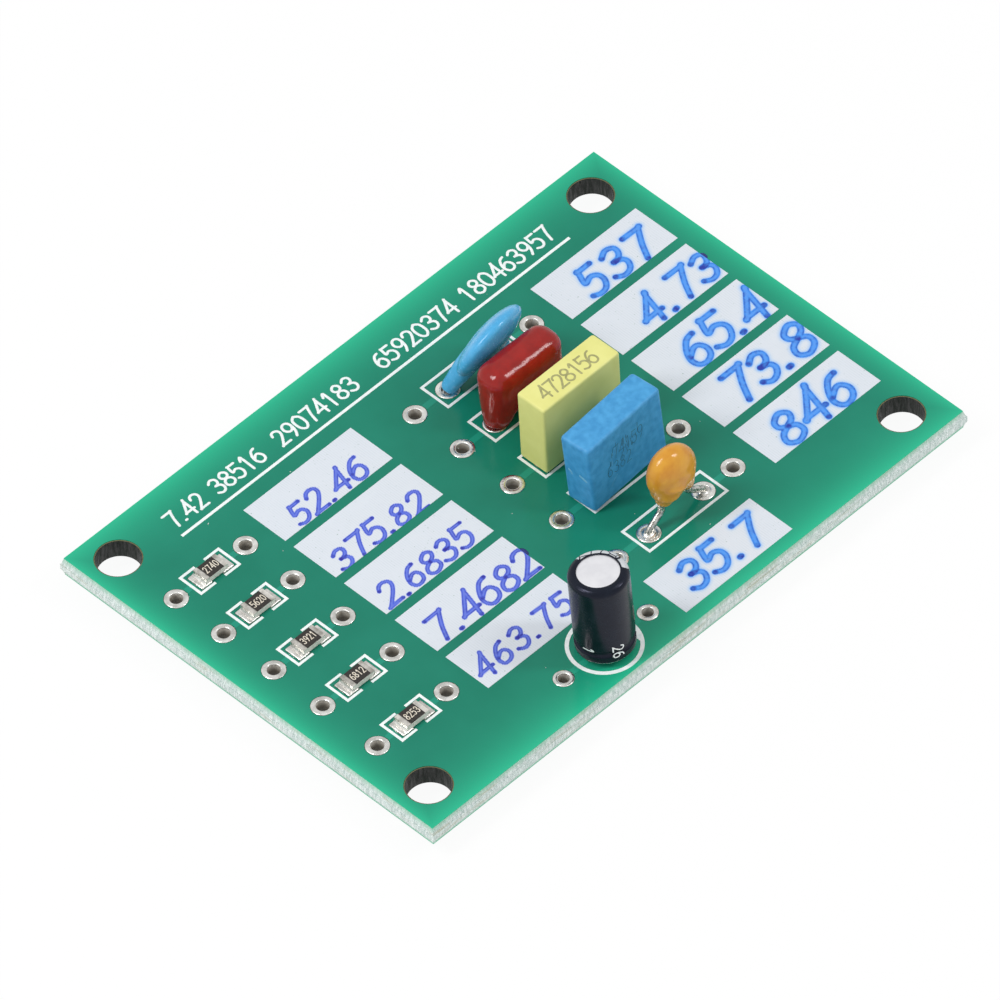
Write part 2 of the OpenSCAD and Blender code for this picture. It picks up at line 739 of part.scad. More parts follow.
module lead_solder_joints() color("silver") for (s = [-1, 1]) {
    x = cap_x + s * lead_pitch / 2;
    translate([x, row_1_y]) low_joint(disc_foot_z - coat_gap);
    translate([x, row_2_y]) low_joint(board_t - low_solder);
    for (y = [row_3_y, row_5_y])
        translate([x, y]) full_joint(lead_d / 2, test_ring_d, test_hole_d, lead_d);
    difference() {
        translate([x, row_4_y]) full_joint(0, test_ring_d, test_hole_d, lead_d);
        wire(blue_lead(s), lead_d);
    }
    translate([can_x + s * can_hole_pitch / 2, can_y])
        full_joint(can_lead_d / 2, small_ring_d, small_hole_d, can_lead_d);
}

// Chip resistors

module chip_body()
    box_at(cap_t - chip_l / 2, chip_l / 2 - cap_t, -chip_w / 2, chip_w / 2,
        chip_low + cap_t, body_high);

module film_patch()
    box_at(-coat_l / 2, coat_l / 2, -film_w / 2, film_w / 2, body_high, body_high + film_t);

// White alumina substrate
module resistor_substrate(i) color("#e8e6e0") translate([chip_x, row_y[i], 0]) chip_body();

// Tinned cap wrapped round each end of the substrate
module resistor_end_caps(i) color("#c9c6c2") translate([chip_x, row_y[i], 0])
    for (s = [0, 1]) mirror([s, 0, 0]) difference() {
        box_at(chip_l / 2 - cap_l, chip_l / 2, -chip_w / 2, chip_w / 2, chip_low, chip_high);
        chip_body();
    }

// Black glass overcoat between the end caps, moulded over the resistive film
module resistor_overcoat(i) color("#1d1b1a") translate([chip_x, row_y[i], 0]) difference() {
    box_at(-coat_l / 2, coat_l / 2, -coat_w / 2, coat_w / 2, body_high, chip_high + coat_proud);
    film_patch();
}

// Resistive film on each substrate
module resistor_film_elements() color("#5a5048")
    for (y = row_y) translate([chip_x, y, 0]) film_patch();

// Disc capacitor

disc_lead_y = (ceramic_t + lead_d) / 2 + lead_skin;

// One lead: up from its hole, then leaning up one face of the disc
function disc_lead(s) = [
    [cap_x + s * lead_pitch / 2, row_1_y, -lead_stub],
    [cap_x + s * lead_pitch / 2, row_1_y, board_t + disc_lead_rise],
    placed(disc_pose, [s * (ceramic_r - electrode_in / 2), s * disc_lead_y, disc_lead_bend]),
    placed(disc_pose, [s * disc_lead_end, s * disc_lead_y, disc_up + electrode_in])
];

module disc_slice(r, y1, y2)
    stand(disc_pose) translate([0, y2, disc_up]) rotate([90, 0, 0])
        cylinder(h = y2 - y1, r = r);

// Lens-shaped dip with a skirt down each lead
module disc_coating_form() {
    half = [for (i = [0:12]) let (a = 90 * i / 12)
        [disc_r * pow(cos(a), lens_power), disc_t / 2 * pow(sin(a), lens_power)]];
    under = [for (i = [11:-1:0]) [half[i].x, -half[i].y]];
    stand(disc_pose) translate([0, 0, disc_up]) rotate([90, 0, 0]) rotate_extrude()
        polygon(concat(half, [[0, -disc_t / 2]], under));
    for (s = [-1, 1])
        blend([cap_x + s * lead_pitch / 2, row_1_y, disc_foot_z + skirt_r], skirt_r,
            placed(disc_pose, [s * skirt_out, 0, disc_up - skirt_down]), skirt_top_r);
}

module disc_capacitor_coating() color("#3f9bd8") difference() {
    disc_coating_form();
    disc_capacitor_dielectric();
    disc_capacitor_electrodes();
    disc_capacitor_leads();
}

module disc_capacitor_dielectric() color("#d9c9a8") disc_slice(ceramic_r, -ceramic_t / 2, ceramic_t / 2);

module disc_capacitor_electrodes() color("silver") difference() {
    union() {
        disc_slice(ceramic_r - electrode_in, ceramic_t / 2, ceramic_t / 2 + electrode_t);
        disc_slice(ceramic_r - electrode_in, -ceramic_t / 2 - electrode_t, -ceramic_t / 2);
    }
    disc_capacitor_leads();
}

module disc_capacitor_leads() color("#c8c8cc") for (s = [-1, 1]) wire(disc_lead(s), lead_d);

// Dipped film capacitor

dip_x = cap_x - dip_left;
dip_foot_z = ring_top + dip_gap;
dip_core_z = board_t + (dip_bottom + dip_top) / 2;

// Rounded block with a foot run down each lead
module dip_coating_form() {
    r = dip_round;
    hull() for (x = [-1, 1], y = [-1, 1], z = [dip_bottom + r, dip_top - r])
        translate([dip_x + x * (dip_l / 2 - r),
                row_2_y + y * (dip_w / 2 - r - (z < dip_top - r ? dip_taper / 2 : 0)), board_t + z])
            sphere(r = r, $fn = soft_fn);
    for (s = [-1, 1]) {
        blend([cap_x + s * lead_pitch / 2, row_2_y, dip_foot_z + dip_foot_r], dip_foot_r,
            [dip_x + s * (dip_l / 2 - r - coat_skin), row_2_y, board_t + dip_bottom + r + dip_foot_up],
            r - coat_skin);
        translate([cap_x + s * lead_pitch / 2, row_2_y, dip_foot_z])
            cylinder(h = dip_foot_r, r1 = dip_sole_r, r2 = dip_foot_r - coat_skin);
    }
}

module film_capacitor_coating() color("#a01c18") difference() {
    dip_coating_form();
    film_capacitor_winding();
    film_capacitor_end_spray();
    film_capacitor_leads();
}

module film_capacitor_winding() color("#d8d8dc") translate([cap_x, row_2_y, dip_core_z])
    flat_roll(2 * (core_end - spray_t), dip_core_w, dip_core_h);

module film_capacitor_end_spray() color("#9a9a9e") difference() {
    for (s = [-1, 1]) translate([cap_x + s * (core_end - spray_t / 2), row_2_y, dip_core_z])
        flat_roll(spray_t, dip_core_w, dip_core_h);
    film_capacitor_leads();
}

module film_capacitor_leads() color("#c8c8cc") upright_leads(row_2_y, dip_core_z + lead_up);

// Boxed film capacitors, each in its own frame with its base at zero

module case_form(h, round) hull()
    for (x = [-1, 1], y = [-1, 1], z = [round, h - round])
        translate([x * (case_l / 2 - round), y * (case_w / 2 - round), z])
            sphere(r = round, $fn = wire_fn);

module case_hollow(h, low)
    box_at(case_wall - case_l / 2, case_l / 2 - case_wall, case_wall - case_w / 2,
        case_w / 2 - case_wall, low, h - case_wall);

core_z = pot_recess + core_up + core_h / 2;

module case_winding() translate([0, 0, core_z]) flat_roll(2 * (core_end - spray_t), core_w, core_h);

module case_spray() for (s = [-1, 1])
    translate([s * (core_end - spray_t / 2), 0, core_z]) flat_roll(spray_t, core_w, core_h);

// The yellow case stands a little off centre over its element and leads
module yellow_capacitor_case() color("#dede83") stand(yellow_pose) difference() {
    case_form(yellow_h, yellow_round);
    case_hollow(yellow_h, -eps);
}

// Epoxy that fills the case round the wound element
module yellow_capacitor_potting() color("#c9c48f") difference() {
    stand(yellow_pose) case_hollow(yellow_h, pot_recess);
    yellow_capacitor_winding();
    yellow_spray();
    yellow_capacitor_leads();
}

module yellow_spray() translate([cap_x, row_3_y, silk_top]) case_spray();

module yellow_capacitor_winding() color("#d8d8dc")
    translate([cap_x, row_3_y, silk_top]) case_winding();

module yellow_capacitor_end_spray() color("#9a9a9e") difference() {
    yellow_spray();
    yellow_capacitor_leads();
}

module yellow_capacitor_leads() color("#c8c8cc") upright_leads(row_3_y, silk_top + core_z + lead_up);

// One lead of the blue part, which leans with its case
function blue_lead(s) = let (
        hole = [cap_x + s * lead_pitch / 2, row_4_y, board_t / 2],
        end = placed(blue_pose, [s * lead_pitch / 2, 0, core_z]),
        slope = (end - hole) / (end.z - hole.z)
    ) [hole - (board_t / 2 + lead_stub) * slope, end + lead_up * slope];

module blue_capacitor_case() color("#3d8fca") stand(blue_pose) difference() {
    case_form(blue_h, blue_round);
    case_hollow(blue_h, -eps);
}

module blue_capacitor_potting() color("#5f8fb5") difference() {
    stand(blue_pose) difference() {
        case_hollow(blue_h, pot_recess);
        case_winding();
        case_spray();
    }
    blue_capacitor_leads();
}

module blue_capacitor_winding() color("#d8d8dc") stand(blue_pose) case_winding();

module blue_capacitor_end_spray() color("#9a9a9e") difference() {
    stand(blue_pose) case_spray();
    blue_capacitor_leads();
}

module blue_capacitor_leads() color("#c8c8cc") for (s = [-1, 1]) wire(blue_lead(s), lead_d);

// Multilayer capacitor

drop_x = cap_x - drop_left;
drop_lead_x = mlcc_l / 2 + lead_d / 2 - lead_sink;
drop_shoulder = board_t + drop_top - shoulder_down;
mlcc_z = board_t + drop_top - mlcc_down;
mlcc_low = mlcc_z - mlcc_h / 2;
drop_bore_z = board_t + drop_lead_bend - lead_sink / 2;

function drop_lead(s) = let (
        low = [cap_x + s * lead_pitch / 2, row_5_y, joint_top],
        high = [drop_x + s * drop_lead_x, row_5_y, board_t + drop_lead_bend],
        bend = [0, 0, lead_d / 8]
    ) [
        [low.x, low.y, lead_d / 2 - lead_stub], low, low + 0.12 * (high - low) + bend,
        low + 0.88 * (high - low) - bend, high, [high.x, high.y, mlcc_z + drop_lead_up]
    ];

// Dipped drop: two shoulders and a crown that narrow onto the two leads
module multilayer_capacitor_coating() color("#d98f2f") difference() {
    left = 0.44 * drop_spread;
    right = 0.35 * drop_spread;
    union() {
        hull() {
            for (s = [-1, 1]) translate([drop_x + s * drop_spread / 2, row_5_y, drop_shoulder])
                sphere(r = drop_r, $fn = 28);
            translate([cap_x, row_5_y, board_t + drop_top - drop_r])
                sphere(r = drop_r, $fn = 28);
        }
        blend([drop_x - drop_lead_x, row_5_y, board_t + drop_foot_left], drop_foot_r,
            [drop_x - left, row_5_y, drop_shoulder - drop_r / 4], 0.94 * drop_r);
        blend([drop_x + drop_lead_x, row_5_y, board_t + drop_foot_right], drop_foot_r,
            [drop_x + right, row_5_y, drop_shoulder - drop_r / 4], 0.92 * drop_r);
    }
    mlcc_block(0, mlcc_l / 2);
    drop_lead_bores();
}

// Both sides of the ceramic chip between two distances from its middle
module mlcc_block(x1, x2) for (s = [0, 1]) translate([drop_x, 0, 0]) mirror([s, 0, 0])
    box_at(x1, x2, row_5_y - mlcc_w / 2, row_5_y + mlcc_w / 2, mlcc_low, mlcc_low + mlcc_h);

// Straight upper lengths of the leads, inside the drop
module drop_lead_bores() for (s = [-1, 1])
    translate([drop_x + s * drop_lead_x, row_5_y, drop_bore_z])
        cylinder(h = mlcc_z + drop_lead_up + lead_d / 2 - drop_bore_z, d = lead_d);

module multilayer_capacitor_chip() color("#b8a58c") mlcc_block(0, mlcc_l / 2 - mlcc_end);

module multilayer_capacitor_end_metal() color("silver") difference() {
    mlcc_block(mlcc_l / 2 - mlcc_end, mlcc_l / 2);
    drop_lead_bores();
}

module multilayer_capacitor_leads() color("#c8c8cc")
    for (s = [-1, 1]) soft_wire(drop_lead(s), lead_d);

// Electrolytic capacitor, turned about its own axis with its base at zero

can_r = can_d / 2;
rim_in = can_r - rim_z - bung_in;
throat = groove_arc(can_r - can_t);

// The crimped groove in a wall at radius r, from its lower to its upper edge
function groove_arc(r) = [for (i = [1:7]) let (a = 180 * i / 8)
    [r - groove_depth * sin(a), groove_up - groove_half * cos(a)]];

// Right half of the can's outer outline, grown outwards by a skin
function can_side(skin) = concat(
    [[can_r + skin, rim_z], [can_r + skin, groove_up - groove_half]],
    groove_arc(can_r + skin),
    [[can_r + skin, groove_up + groove_half]],
    arc([can_r - can_round, can_h - can_round], can_round + skin, 0, 90, 8)
);

// Shrunk plastic sleeve, open over the middle of the can's top
module electrolytic_capacitor_sleeve() color("#20232b") stand(can_pose) rotate_extrude($fn = round_fn)
    polygon(concat(
        can_side(sleeve_t),
        [[bare_top_d / 2, can_h + sleeve_t], [bare_top_d / 2, can_h]],
        [for (i = [len(can_side(0)) - 1:-1:0]) can_side(0)[i]]
    ));

// Deep-drawn aluminium can with its rim rolled in under the bung
module electrolytic_capacitor_can() color("#dcdad8") stand(can_pose) rotate_extrude($fn = round_fn)
    polygon(concat(
        [[can_r - rim_z, 0]], arc([can_r - rim_z, rim_z], rim_z, -60, -15, 3),
        can_side(0), [[0, can_h], [0, can_h - can_t], [can_r - can_round, can_h - can_t]],
        [[can_r - can_t, can_h - can_round], [can_r - can_t, groove_up + groove_half]],
        [for (i = [len(throat) - 1:-1:0]) throat[i]],
        [[can_r - can_t, groove_up - groove_half], [can_r - can_t, rim_z],
            [rim_in, can_t], [rim_in, 0]]
    ));

// Round aluminium stubs of both leads, from z1 to z2 in the can's frame
module can_stubs(z1, z2) stand(can_pose) for (s = [-1, 1])
    translate([s * can_lead_pitch / 2, 0, z1]) cylinder(h = z2 - z1, d = stub_d);

// Flat tabs at the stubs' inner ends
module can_tabs() stand(can_pose) for (s = [-1, 1])
    translate([s * can_lead_pitch / 2 - tab_t / 2, -tab_w / 2, bung_h - stub_out])
        cube([tab_t, tab_w, tab_l]);

// Rubber bung, squeezed by the groove, with a hole for each lead
module electrolytic_capacitor_bung() color("#2b2926") difference() {
    stand(can_pose) rotate_extrude($fn = round_fn) polygon(concat(
        [[0, bung_up], [rim_in, bung_up], [rim_in, can_t],
            [can_r - can_t, rim_z], [can_r - can_t, groove_up - groove_half]],
        throat,
        [[can_r - can_t, groove_up + groove_half], [can_r - can_t, bung_h], [0, bung_h]]
    ));
    can_stubs(-can_t, bung_h + can_t);
}

// Wound foil and paper, seated on the bung
module electrolytic_capacitor_winding() color("#cfc8b8") difference() {
    stand(can_pose) translate([0, 0, bung_h]) difference() {
        cylinder(h = can_h - can_t - bung_h - roll_gap, d = roll_d);
        translate([0, 0, -eps]) cylinder(h = can_h, d = roll_hole_d);
    }
    can_tabs();
}

function can_lead(s) = let (
        low = [can_x + s * can_hole_pitch / 2, can_y, joint_top],
        high = placed(can_pose, [s * can_lead_pitch / 2, 0, stub_out])
    ) [
        [low.x, low.y, can_lead_d / 2 - lead_stub], low, low + 0.4 * (high - low), high,
        placed(can_pose, [s * can_lead_pitch / 2, 0, rim_z])
    ];

// Each lead: tinned wire, round aluminium stub through the bung and a flat tab
module electrolytic_capacitor_leads() color("#c8c8cc") {
    for (s = [-1, 1]) soft_wire(can_lead(s), can_lead_d);
    can_stubs(-stub_out, bung_h);
    can_tabs();
}

laminate_core();
copper_tracks();
solder_mask_top();
solder_mask_bottom();
silkscreen_outlines();
silkscreen_label_panels();
silkscreen_title_rule();
test_point_barrels();
lead_hole_barrels();
chip_solder_fillets();
lead_solder_joints();
resistor_film_elements();
for (i = [0:4]) {
    resistor_substrate(i);
    resistor_end_caps(i);
    resistor_overcoat(i);
}
disc_capacitor_coating();
disc_capacitor_dielectric();
disc_capacitor_electrodes();
disc_capacitor_leads();
film_capacitor_coating();
film_capacitor_winding();
film_capacitor_end_spray();
film_capacitor_leads();
yellow_capacitor_case();
yellow_capacitor_potting();
yellow_capacitor_winding();
yellow_capacitor_end_spray();
yellow_capacitor_leads();
blue_capacitor_case();
blue_capacitor_potting();
blue_capacitor_winding();
blue_capacitor_end_spray();
blue_capacitor_leads();
multilayer_capacitor_coating();
multilayer_capacitor_chip();
multilayer_capacitor_end_metal();
multilayer_capacitor_leads();
electrolytic_capacitor_sleeve();
electrolytic_capacitor_can();
electrolytic_capacitor_bung();
electrolytic_capacitor_winding();
electrolytic_capacitor_leads();
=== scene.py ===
import math
import random

import bpy
import numpy as np
from mathutils import Matrix, Vector


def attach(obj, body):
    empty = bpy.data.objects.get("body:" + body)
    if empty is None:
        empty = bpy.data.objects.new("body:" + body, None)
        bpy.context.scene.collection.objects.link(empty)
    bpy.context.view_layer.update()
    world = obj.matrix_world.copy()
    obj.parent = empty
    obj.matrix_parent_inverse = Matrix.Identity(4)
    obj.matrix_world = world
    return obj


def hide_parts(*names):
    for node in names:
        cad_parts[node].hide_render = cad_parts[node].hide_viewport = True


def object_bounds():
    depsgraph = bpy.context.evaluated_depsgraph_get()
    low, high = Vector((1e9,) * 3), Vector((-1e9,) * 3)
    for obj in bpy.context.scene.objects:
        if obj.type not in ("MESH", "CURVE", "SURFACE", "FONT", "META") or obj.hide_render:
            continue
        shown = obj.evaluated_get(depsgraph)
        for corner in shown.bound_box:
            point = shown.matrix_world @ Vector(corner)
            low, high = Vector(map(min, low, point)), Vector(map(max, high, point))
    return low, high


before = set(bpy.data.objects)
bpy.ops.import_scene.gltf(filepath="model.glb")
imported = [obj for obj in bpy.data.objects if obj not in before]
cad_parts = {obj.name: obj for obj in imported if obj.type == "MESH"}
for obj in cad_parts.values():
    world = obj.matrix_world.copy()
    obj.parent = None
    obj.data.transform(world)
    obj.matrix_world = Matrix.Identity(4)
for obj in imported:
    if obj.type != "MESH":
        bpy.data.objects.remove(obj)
cad_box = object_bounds()

# Camera, lamps and floor
# A long lens looks down at the board's near left corner. A pale floor lies under the lead ends.
# Two soft boxes and an even white room light it at a plain level.
MM = 0.001
FOCAL_PX = 18190.707
PICTURE_PX = 1000
CAMERA_PLACE = (-0.539166, -0.587913, 0.894283)
CAMERA_RIGHT = (0.70542652, -0.70761027, -0.04075703)
CAMERA_DOWN = (-0.54800023, -0.50803346, -0.66452822)
CAMERA_AHEAD = (0.44952106, 0.49111069, -0.74615086)

camera_data = bpy.data.cameras.new("photo_camera")
camera_data.sensor_width = 36
camera_data.lens = FOCAL_PX / PICTURE_PX * camera_data.sensor_width
camera_data.clip_start = 0.05
camera_data.clip_end = 20
camera = bpy.data.objects.new("photo_camera", camera_data)
bpy.context.scene.collection.objects.link(camera)
axes = [CAMERA_RIGHT, [-c for c in CAMERA_DOWN], [-c for c in CAMERA_AHEAD]]
camera.matrix_world = Matrix.Translation(CAMERA_PLACE) @ Matrix(axes).transposed().to_4x4()
bpy.context.scene.camera = camera
bpy.context.scene.view_settings.view_transform = "Standard"


def linear(code):
    """An sRGB hex value as the linear colour that the nodes take."""
    parts = [int(code[i:i + 2], 16) / 255 for i in (1, 3, 5)]
    return tuple(c / 12.92 if c < 0.04045 else ((c + 0.055) / 1.055) ** 2.4 for c in parts) + (1,)


def add(finish, kind, values=(), links=(), **settings):
    """Adds one shader node with its values, settings and links. A Mix node mixes colours."""
    node = finish.node_tree.nodes.new("ShaderNode" + kind)
    if kind == "Mix":
        node.data_type = "RGBA"
    for name, value in settings.items():
        setattr(node, name, value)
    for name, value in dict(values).items():
        node.inputs[name].default_value = value
    for name, source in dict(links).items():
        if isinstance(source, bpy.types.Node):
            source = next(output for output in source.outputs if output.enabled)
        finish.node_tree.links.new(source, node.inputs[name])
    return node


def emptied(finish):
    """Clears a material's or world's nodes, so that its graph starts from nothing."""
    finish.use_nodes = True
    finish.node_tree.nodes.clear()
    return finish


ROOM_LEVEL = 0.56
LOW_WALLS = 0.95
CEILING = 0.85
room = emptied(bpy.data.worlds.new("white_room"))
bpy.context.scene.world = room
path = add(room, "LightPath")
clear = add(room, "Math",
            links={0: path.outputs["Is Camera Ray"], 1: path.outputs["Is Transmission Ray"]},
            operation="MAXIMUM")
way = add(room, "SeparateXYZ", links={0: add(room, "TexCoord").outputs["Generated"]})
mirrored = add(room, "MapRange",
               {"From Min": 0.1, "From Max": 0.5, "To Min": LOW_WALLS, "To Max": CEILING},
               {"Value": way.outputs["Z"]})
glow = add(room, "Background", {"Color": (1, 1, 1, 1), "Strength": ROOM_LEVEL})
walls = add(room, "Background", {"Color": (1, 1, 1, 1)}, {"Strength": mirrored})
white = add(room, "Background", {"Color": (1, 1, 1, 1), "Strength": 1})
both = add(room, "MixShader", links={0: path.outputs["Is Glossy Ray"], 1: glow, 2: walls})
both = add(room, "MixShader", links={0: clear, 1: both, 2: white})
add(room, "OutputWorld", links={"Surface": both})

# name, direction towards the lamp, distance, width, height, light on the board
SOFT_BOXES = [
    ("soft_box_left", (-0.54, 0.25, 0.80), 0.45, 0.10, 0.22, 0.36),
    ("soft_box_right", (0.45, -0.53, 0.715), 0.45, 0.05, 0.20, 0.16),
]
for name, towards, distance, width, height, level in SOFT_BOXES:
    lamp = bpy.data.lights.new(name, "AREA")
    lamp.shape = "RECTANGLE"
    lamp.size = width
    lamp.size_y = height
    lamp.energy = math.pi ** 2 * level * distance ** 2 / towards[2]
    box = bpy.data.objects.new(name, lamp)
    bpy.context.scene.collection.objects.link(box)
    aim = (-Vector(towards)).to_track_quat("-Z", "Y").to_matrix().to_4x4()
    box.matrix_world = Matrix.Translation(Vector(towards) * distance) @ aim

FLOOR_SIZE = 6
FLOOR_GLOW = 0.94
bpy.ops.object.select_all(action="DESELECT")
bpy.ops.mesh.primitive_plane_add(size=FLOOR_SIZE, location=(0, 0, cad_box[0].z - 0.02 * MM))
floor = bpy.context.object
floor.name = "studio_floor"
paper = emptied(bpy.data.materials.new("white_paper_sweep"))
path = add(paper, "LightPath")
seen = add(paper, "Math",
           links={0: path.outputs["Is Camera Ray"], 1: path.outputs["Is Glossy Ray"]},
           operation="MAXIMUM")
share = add(paper, "Math", {1: FLOOR_GLOW}, {0: seen}, operation="MULTIPLY")
matt = add(paper, "BsdfDiffuse", {"Color": (0.95, 0.95, 0.95, 1)})
lit = add(paper, "Emission", {"Color": (1, 1, 1, 1), "Strength": 1})
both = add(paper, "MixShader", links={0: share, 1: matt, 2: lit})
add(paper, "OutputMaterial", links={"Surface": both})
floor.data.materials.append(paper)

# Glass-epoxy board
# The core is woven glass in epoxy, milled with a V on both faces along each edge and snapped out
# of its panel. The snapped middle is rough and pale, and the drilled hole walls are painted near
# black, as painted shade in the holes.
HOLE_X = 22.05 * MM
HOLE_Y = 14.435 * MM
HOLE_R = 1.55 * MM
BOARD_T = 1.6 * MM
SCORE_DEPTH = 0.5 * MM


def painted(piece, finish):
    """Gives a piece, or a CAD node by its name, one material in place of all it has."""
    if isinstance(piece, str):
        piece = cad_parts[piece]
    piece.data.materials.clear()
    piece.data.materials.append(finish)


def started(name):
    """A new material with its place on the object and that place's three parts."""
    finish = emptied(bpy.data.materials.new(name))
    place = add(finish, "TexCoord").outputs["Object"]
    return finish, place, add(finish, "SeparateXYZ", links={0: place}).outputs


def from_middle(finish, value, middle):
    """How far a value lies from a middle, to either side."""
    off = add(finish, "Math", {1: middle}, {0: value}, operation="SUBTRACT")
    return add(finish, "Math", links={0: off}, operation="ABSOLUTE")


def reach_of(finish, across, along):
    """The straight distance that two square ways make."""
    flat = add(finish, "CombineXYZ", links={0: across, 1: along})
    return add(finish, "VectorMath", links={0: flat}, operation="LENGTH").outputs["Value"]


def surfaced(finish, tone, wear, shine, relief=None, **shader):
    """Ends a material: its tone, its shine by how worn it is, and its relief by a height."""
    gloss = add(finish, "MapRange", {"To Min": shine[0], "To Max": shine[1]}, {"Value": wear})
    links = {"Base Color": tone, "Roughness": gloss}
    if relief:
        height, strength, rise = relief
        bump = add(finish, "Bump", {"Strength": strength, "Distance": rise}, {"Height": height})
        links["Normal"] = bump
    skin = add(finish, "BsdfPrincipled", shader, links)
    add(finish, "OutputMaterial", links={"Surface": skin})


def spots(finish, coords, size, low=0.35, high=0.65):
    """A factor from 0 to 1 that varies in spots of a size in metres."""
    noise = add(finish, "TexNoise", {"Scale": 1 / size, "Detail": 3}, {"Vector": coords})
    return add(finish, "MapRange", {"From Min": low, "From Max": high},
               {"Value": noise.outputs["Fac"]})


# Torn fibre ends give the edge a pale, streaky, rough look, greener towards the lacquer
fibre, place, axis = started("snapped_glass_epoxy")
stretch = add(fibre, "Mapping", {"Scale": (1, 1, 0.15)}, {"Vector": place})
ends = spots(fibre, stretch, 0.15 * MM)
ply = add(fibre, "Mapping", {"Scale": (0.08, 0.08, 1)}, {"Vector": place})
plies = spots(fibre, ply, 0.22 * MM, 0.55, 0.85)
tone = add(fibre, "Mix", {6: linear("#bed0cb"), 7: linear("#e8f0ee")}, {0: ends})
tone = add(fibre, "Mix", {7: linear("#b7b79a")}, {0: plies, 6: tone})
cut = add(fibre, "MapRange",
          {"From Min": BOARD_T / 2 - SCORE_DEPTH * 0.9, "From Max": BOARD_T / 2, "To Max": 0.8},
          {"Value": from_middle(fibre, axis[2], BOARD_T / 2)})
tone = add(fibre, "Mix", {7: linear("#86c4a4")}, {0: cut, 6: tone})
near = [from_middle(fibre, from_middle(fibre, axis[side], 0), centre)
        for side, centre in ((0, HOLE_X), (1, HOLE_Y))]
reach = reach_of(fibre, *near)
wall = add(fibre, "MapRange", {"From Min": HOLE_R + 0.03 * MM, "From Max": HOLE_R + 0.01 * MM},
           {"Value": reach})
rim = add(fibre, "MapRange", {"From Min": HOLE_R + 0.3 * MM, "From Max": HOLE_R + 0.2 * MM},
          {"Value": reach})
# Painted shade: the mounting holes' walls are coloured near black, streaked with the fibre ends
painted_wall_shade = add(fibre, "Mix", {6: linear("#070d09"), 7: linear("#131d16")}, {0: ends})
tone = add(fibre, "Mix", {7: linear("#6f6a4a")}, {0: rim, 6: tone})
tone = add(fibre, "Mix", links={0: wall, 6: tone, 7: painted_wall_shade})
surfaced(fibre, tone, ends, (0.45, 0.8), (ends, 0.8, 0.04 * MM), IOR=1.5)
painted("laminate_core", fibre)

# Copper tracks
# Etched copper foil lies under the lacquer, from each test ring to its pad.
# It is brushed before lacquering, so fine scratches run along it.
foil, place, axis = started("brushed_copper_foil")
along = add(foil, "Mapping", {"Scale": (0.1, 1, 1)}, {"Vector": place})
brush = spots(foil, along, 0.05 * MM)
tone = add(foil, "Mix", {6: linear("#b4673f"), 7: linear("#d99a6c")}, {0: brush})
# The lands of the chips are tinned
CHIP_X = -18.76 * MM
LANDS_HALF = 1.5 * MM
land = add(foil, "MapRange", {"From Min": LANDS_HALF + 0.1 * MM, "From Max": LANDS_HALF},
           {"Value": from_middle(foil, axis[0], CHIP_X)})
tone = add(foil, "Mix", {7: linear("#dcdad4")}, {0: land, 6: tone})
surfaced(foil, tone, brush, (0.25, 0.5), Metallic=1)
painted("copper_tracks", foil)

# Green solder mask
# A cured lacquer is screened over both faces. Light that enters at the snapped edges glows
# through it there, and that glow is painted into its colour as a paler green near the edges.
# It is glossy with a slight orange peel, and paler where copper lies under it.
GLOW_REACH = (1.2 * MM, 1.75 * MM)
EDGES_X = (-24.5 * MM, 25.0 * MM)
EDGES_Y = (-17.225 * MM, 17.075 * MM)
lacquers = []
for name, dark, light in (("green_solder_mask", "#137a63", "#1a826b"),
                          ("solder_mask_over_copper", "#1e8d76", "#24947c")):
    lacquer, place, axis = started(name)
    gaps = []
    for side, (low, high) in ((0, EDGES_X), (1, EDGES_Y)):
        inward = add(lacquer, "Math", {0: (high - low) / 2},
                     {1: from_middle(lacquer, axis[side], (low + high) / 2)}, operation="SUBTRACT")
        gaps.append(add(lacquer, "Math", {1: -GLOW_REACH[side]}, {0: inward}, operation="DIVIDE"))
    fall = add(lacquer, "Math", links={0: gaps[0], 1: gaps[1]}, operation="MAXIMUM")
    painted_edge_glow = add(lacquer, "Math", {0: math.e}, {1: fall}, operation="POWER")
    cloudy = spots(lacquer, place, 3.5 * MM, 0.25, 0.75)
    tone = add(lacquer, "Mix", {6: linear(dark), 7: linear(light)}, {0: cloudy})
    # Painted glow: a paler green towards the snapped edges stands for light coming through them
    tone = add(lacquer, "Mix", {7: linear("#2ab98f")}, {0: painted_edge_glow, 6: tone})
    peel = add(lacquer, "TexNoise", {"Scale": 1 / (0.35 * MM), "Detail": 4}, {"Vector": place})
    fine = peel.outputs["Fac"]
    surfaced(lacquer, tone, fine, (0.1, 0.22), (fine, 0.5, 0.004 * MM),
             **{"IOR": 1.5, "Specular IOR Level": 0.22})
    lacquers.append(lacquer)
painted("solder_mask_top", lacquers[0])
painted("solder_mask_bottom", lacquers[0])

# Mask over the tracks
# The lacquer stands a little higher where it runs over a track, so each shows as a low ridge
# with sloping sides, from its ring to its pad.
ROWS = [9.1 * MM, 4.67 * MM, 0, -4.56 * MM, -9.6 * MM]
CAN_ROW = -14.405 * MM
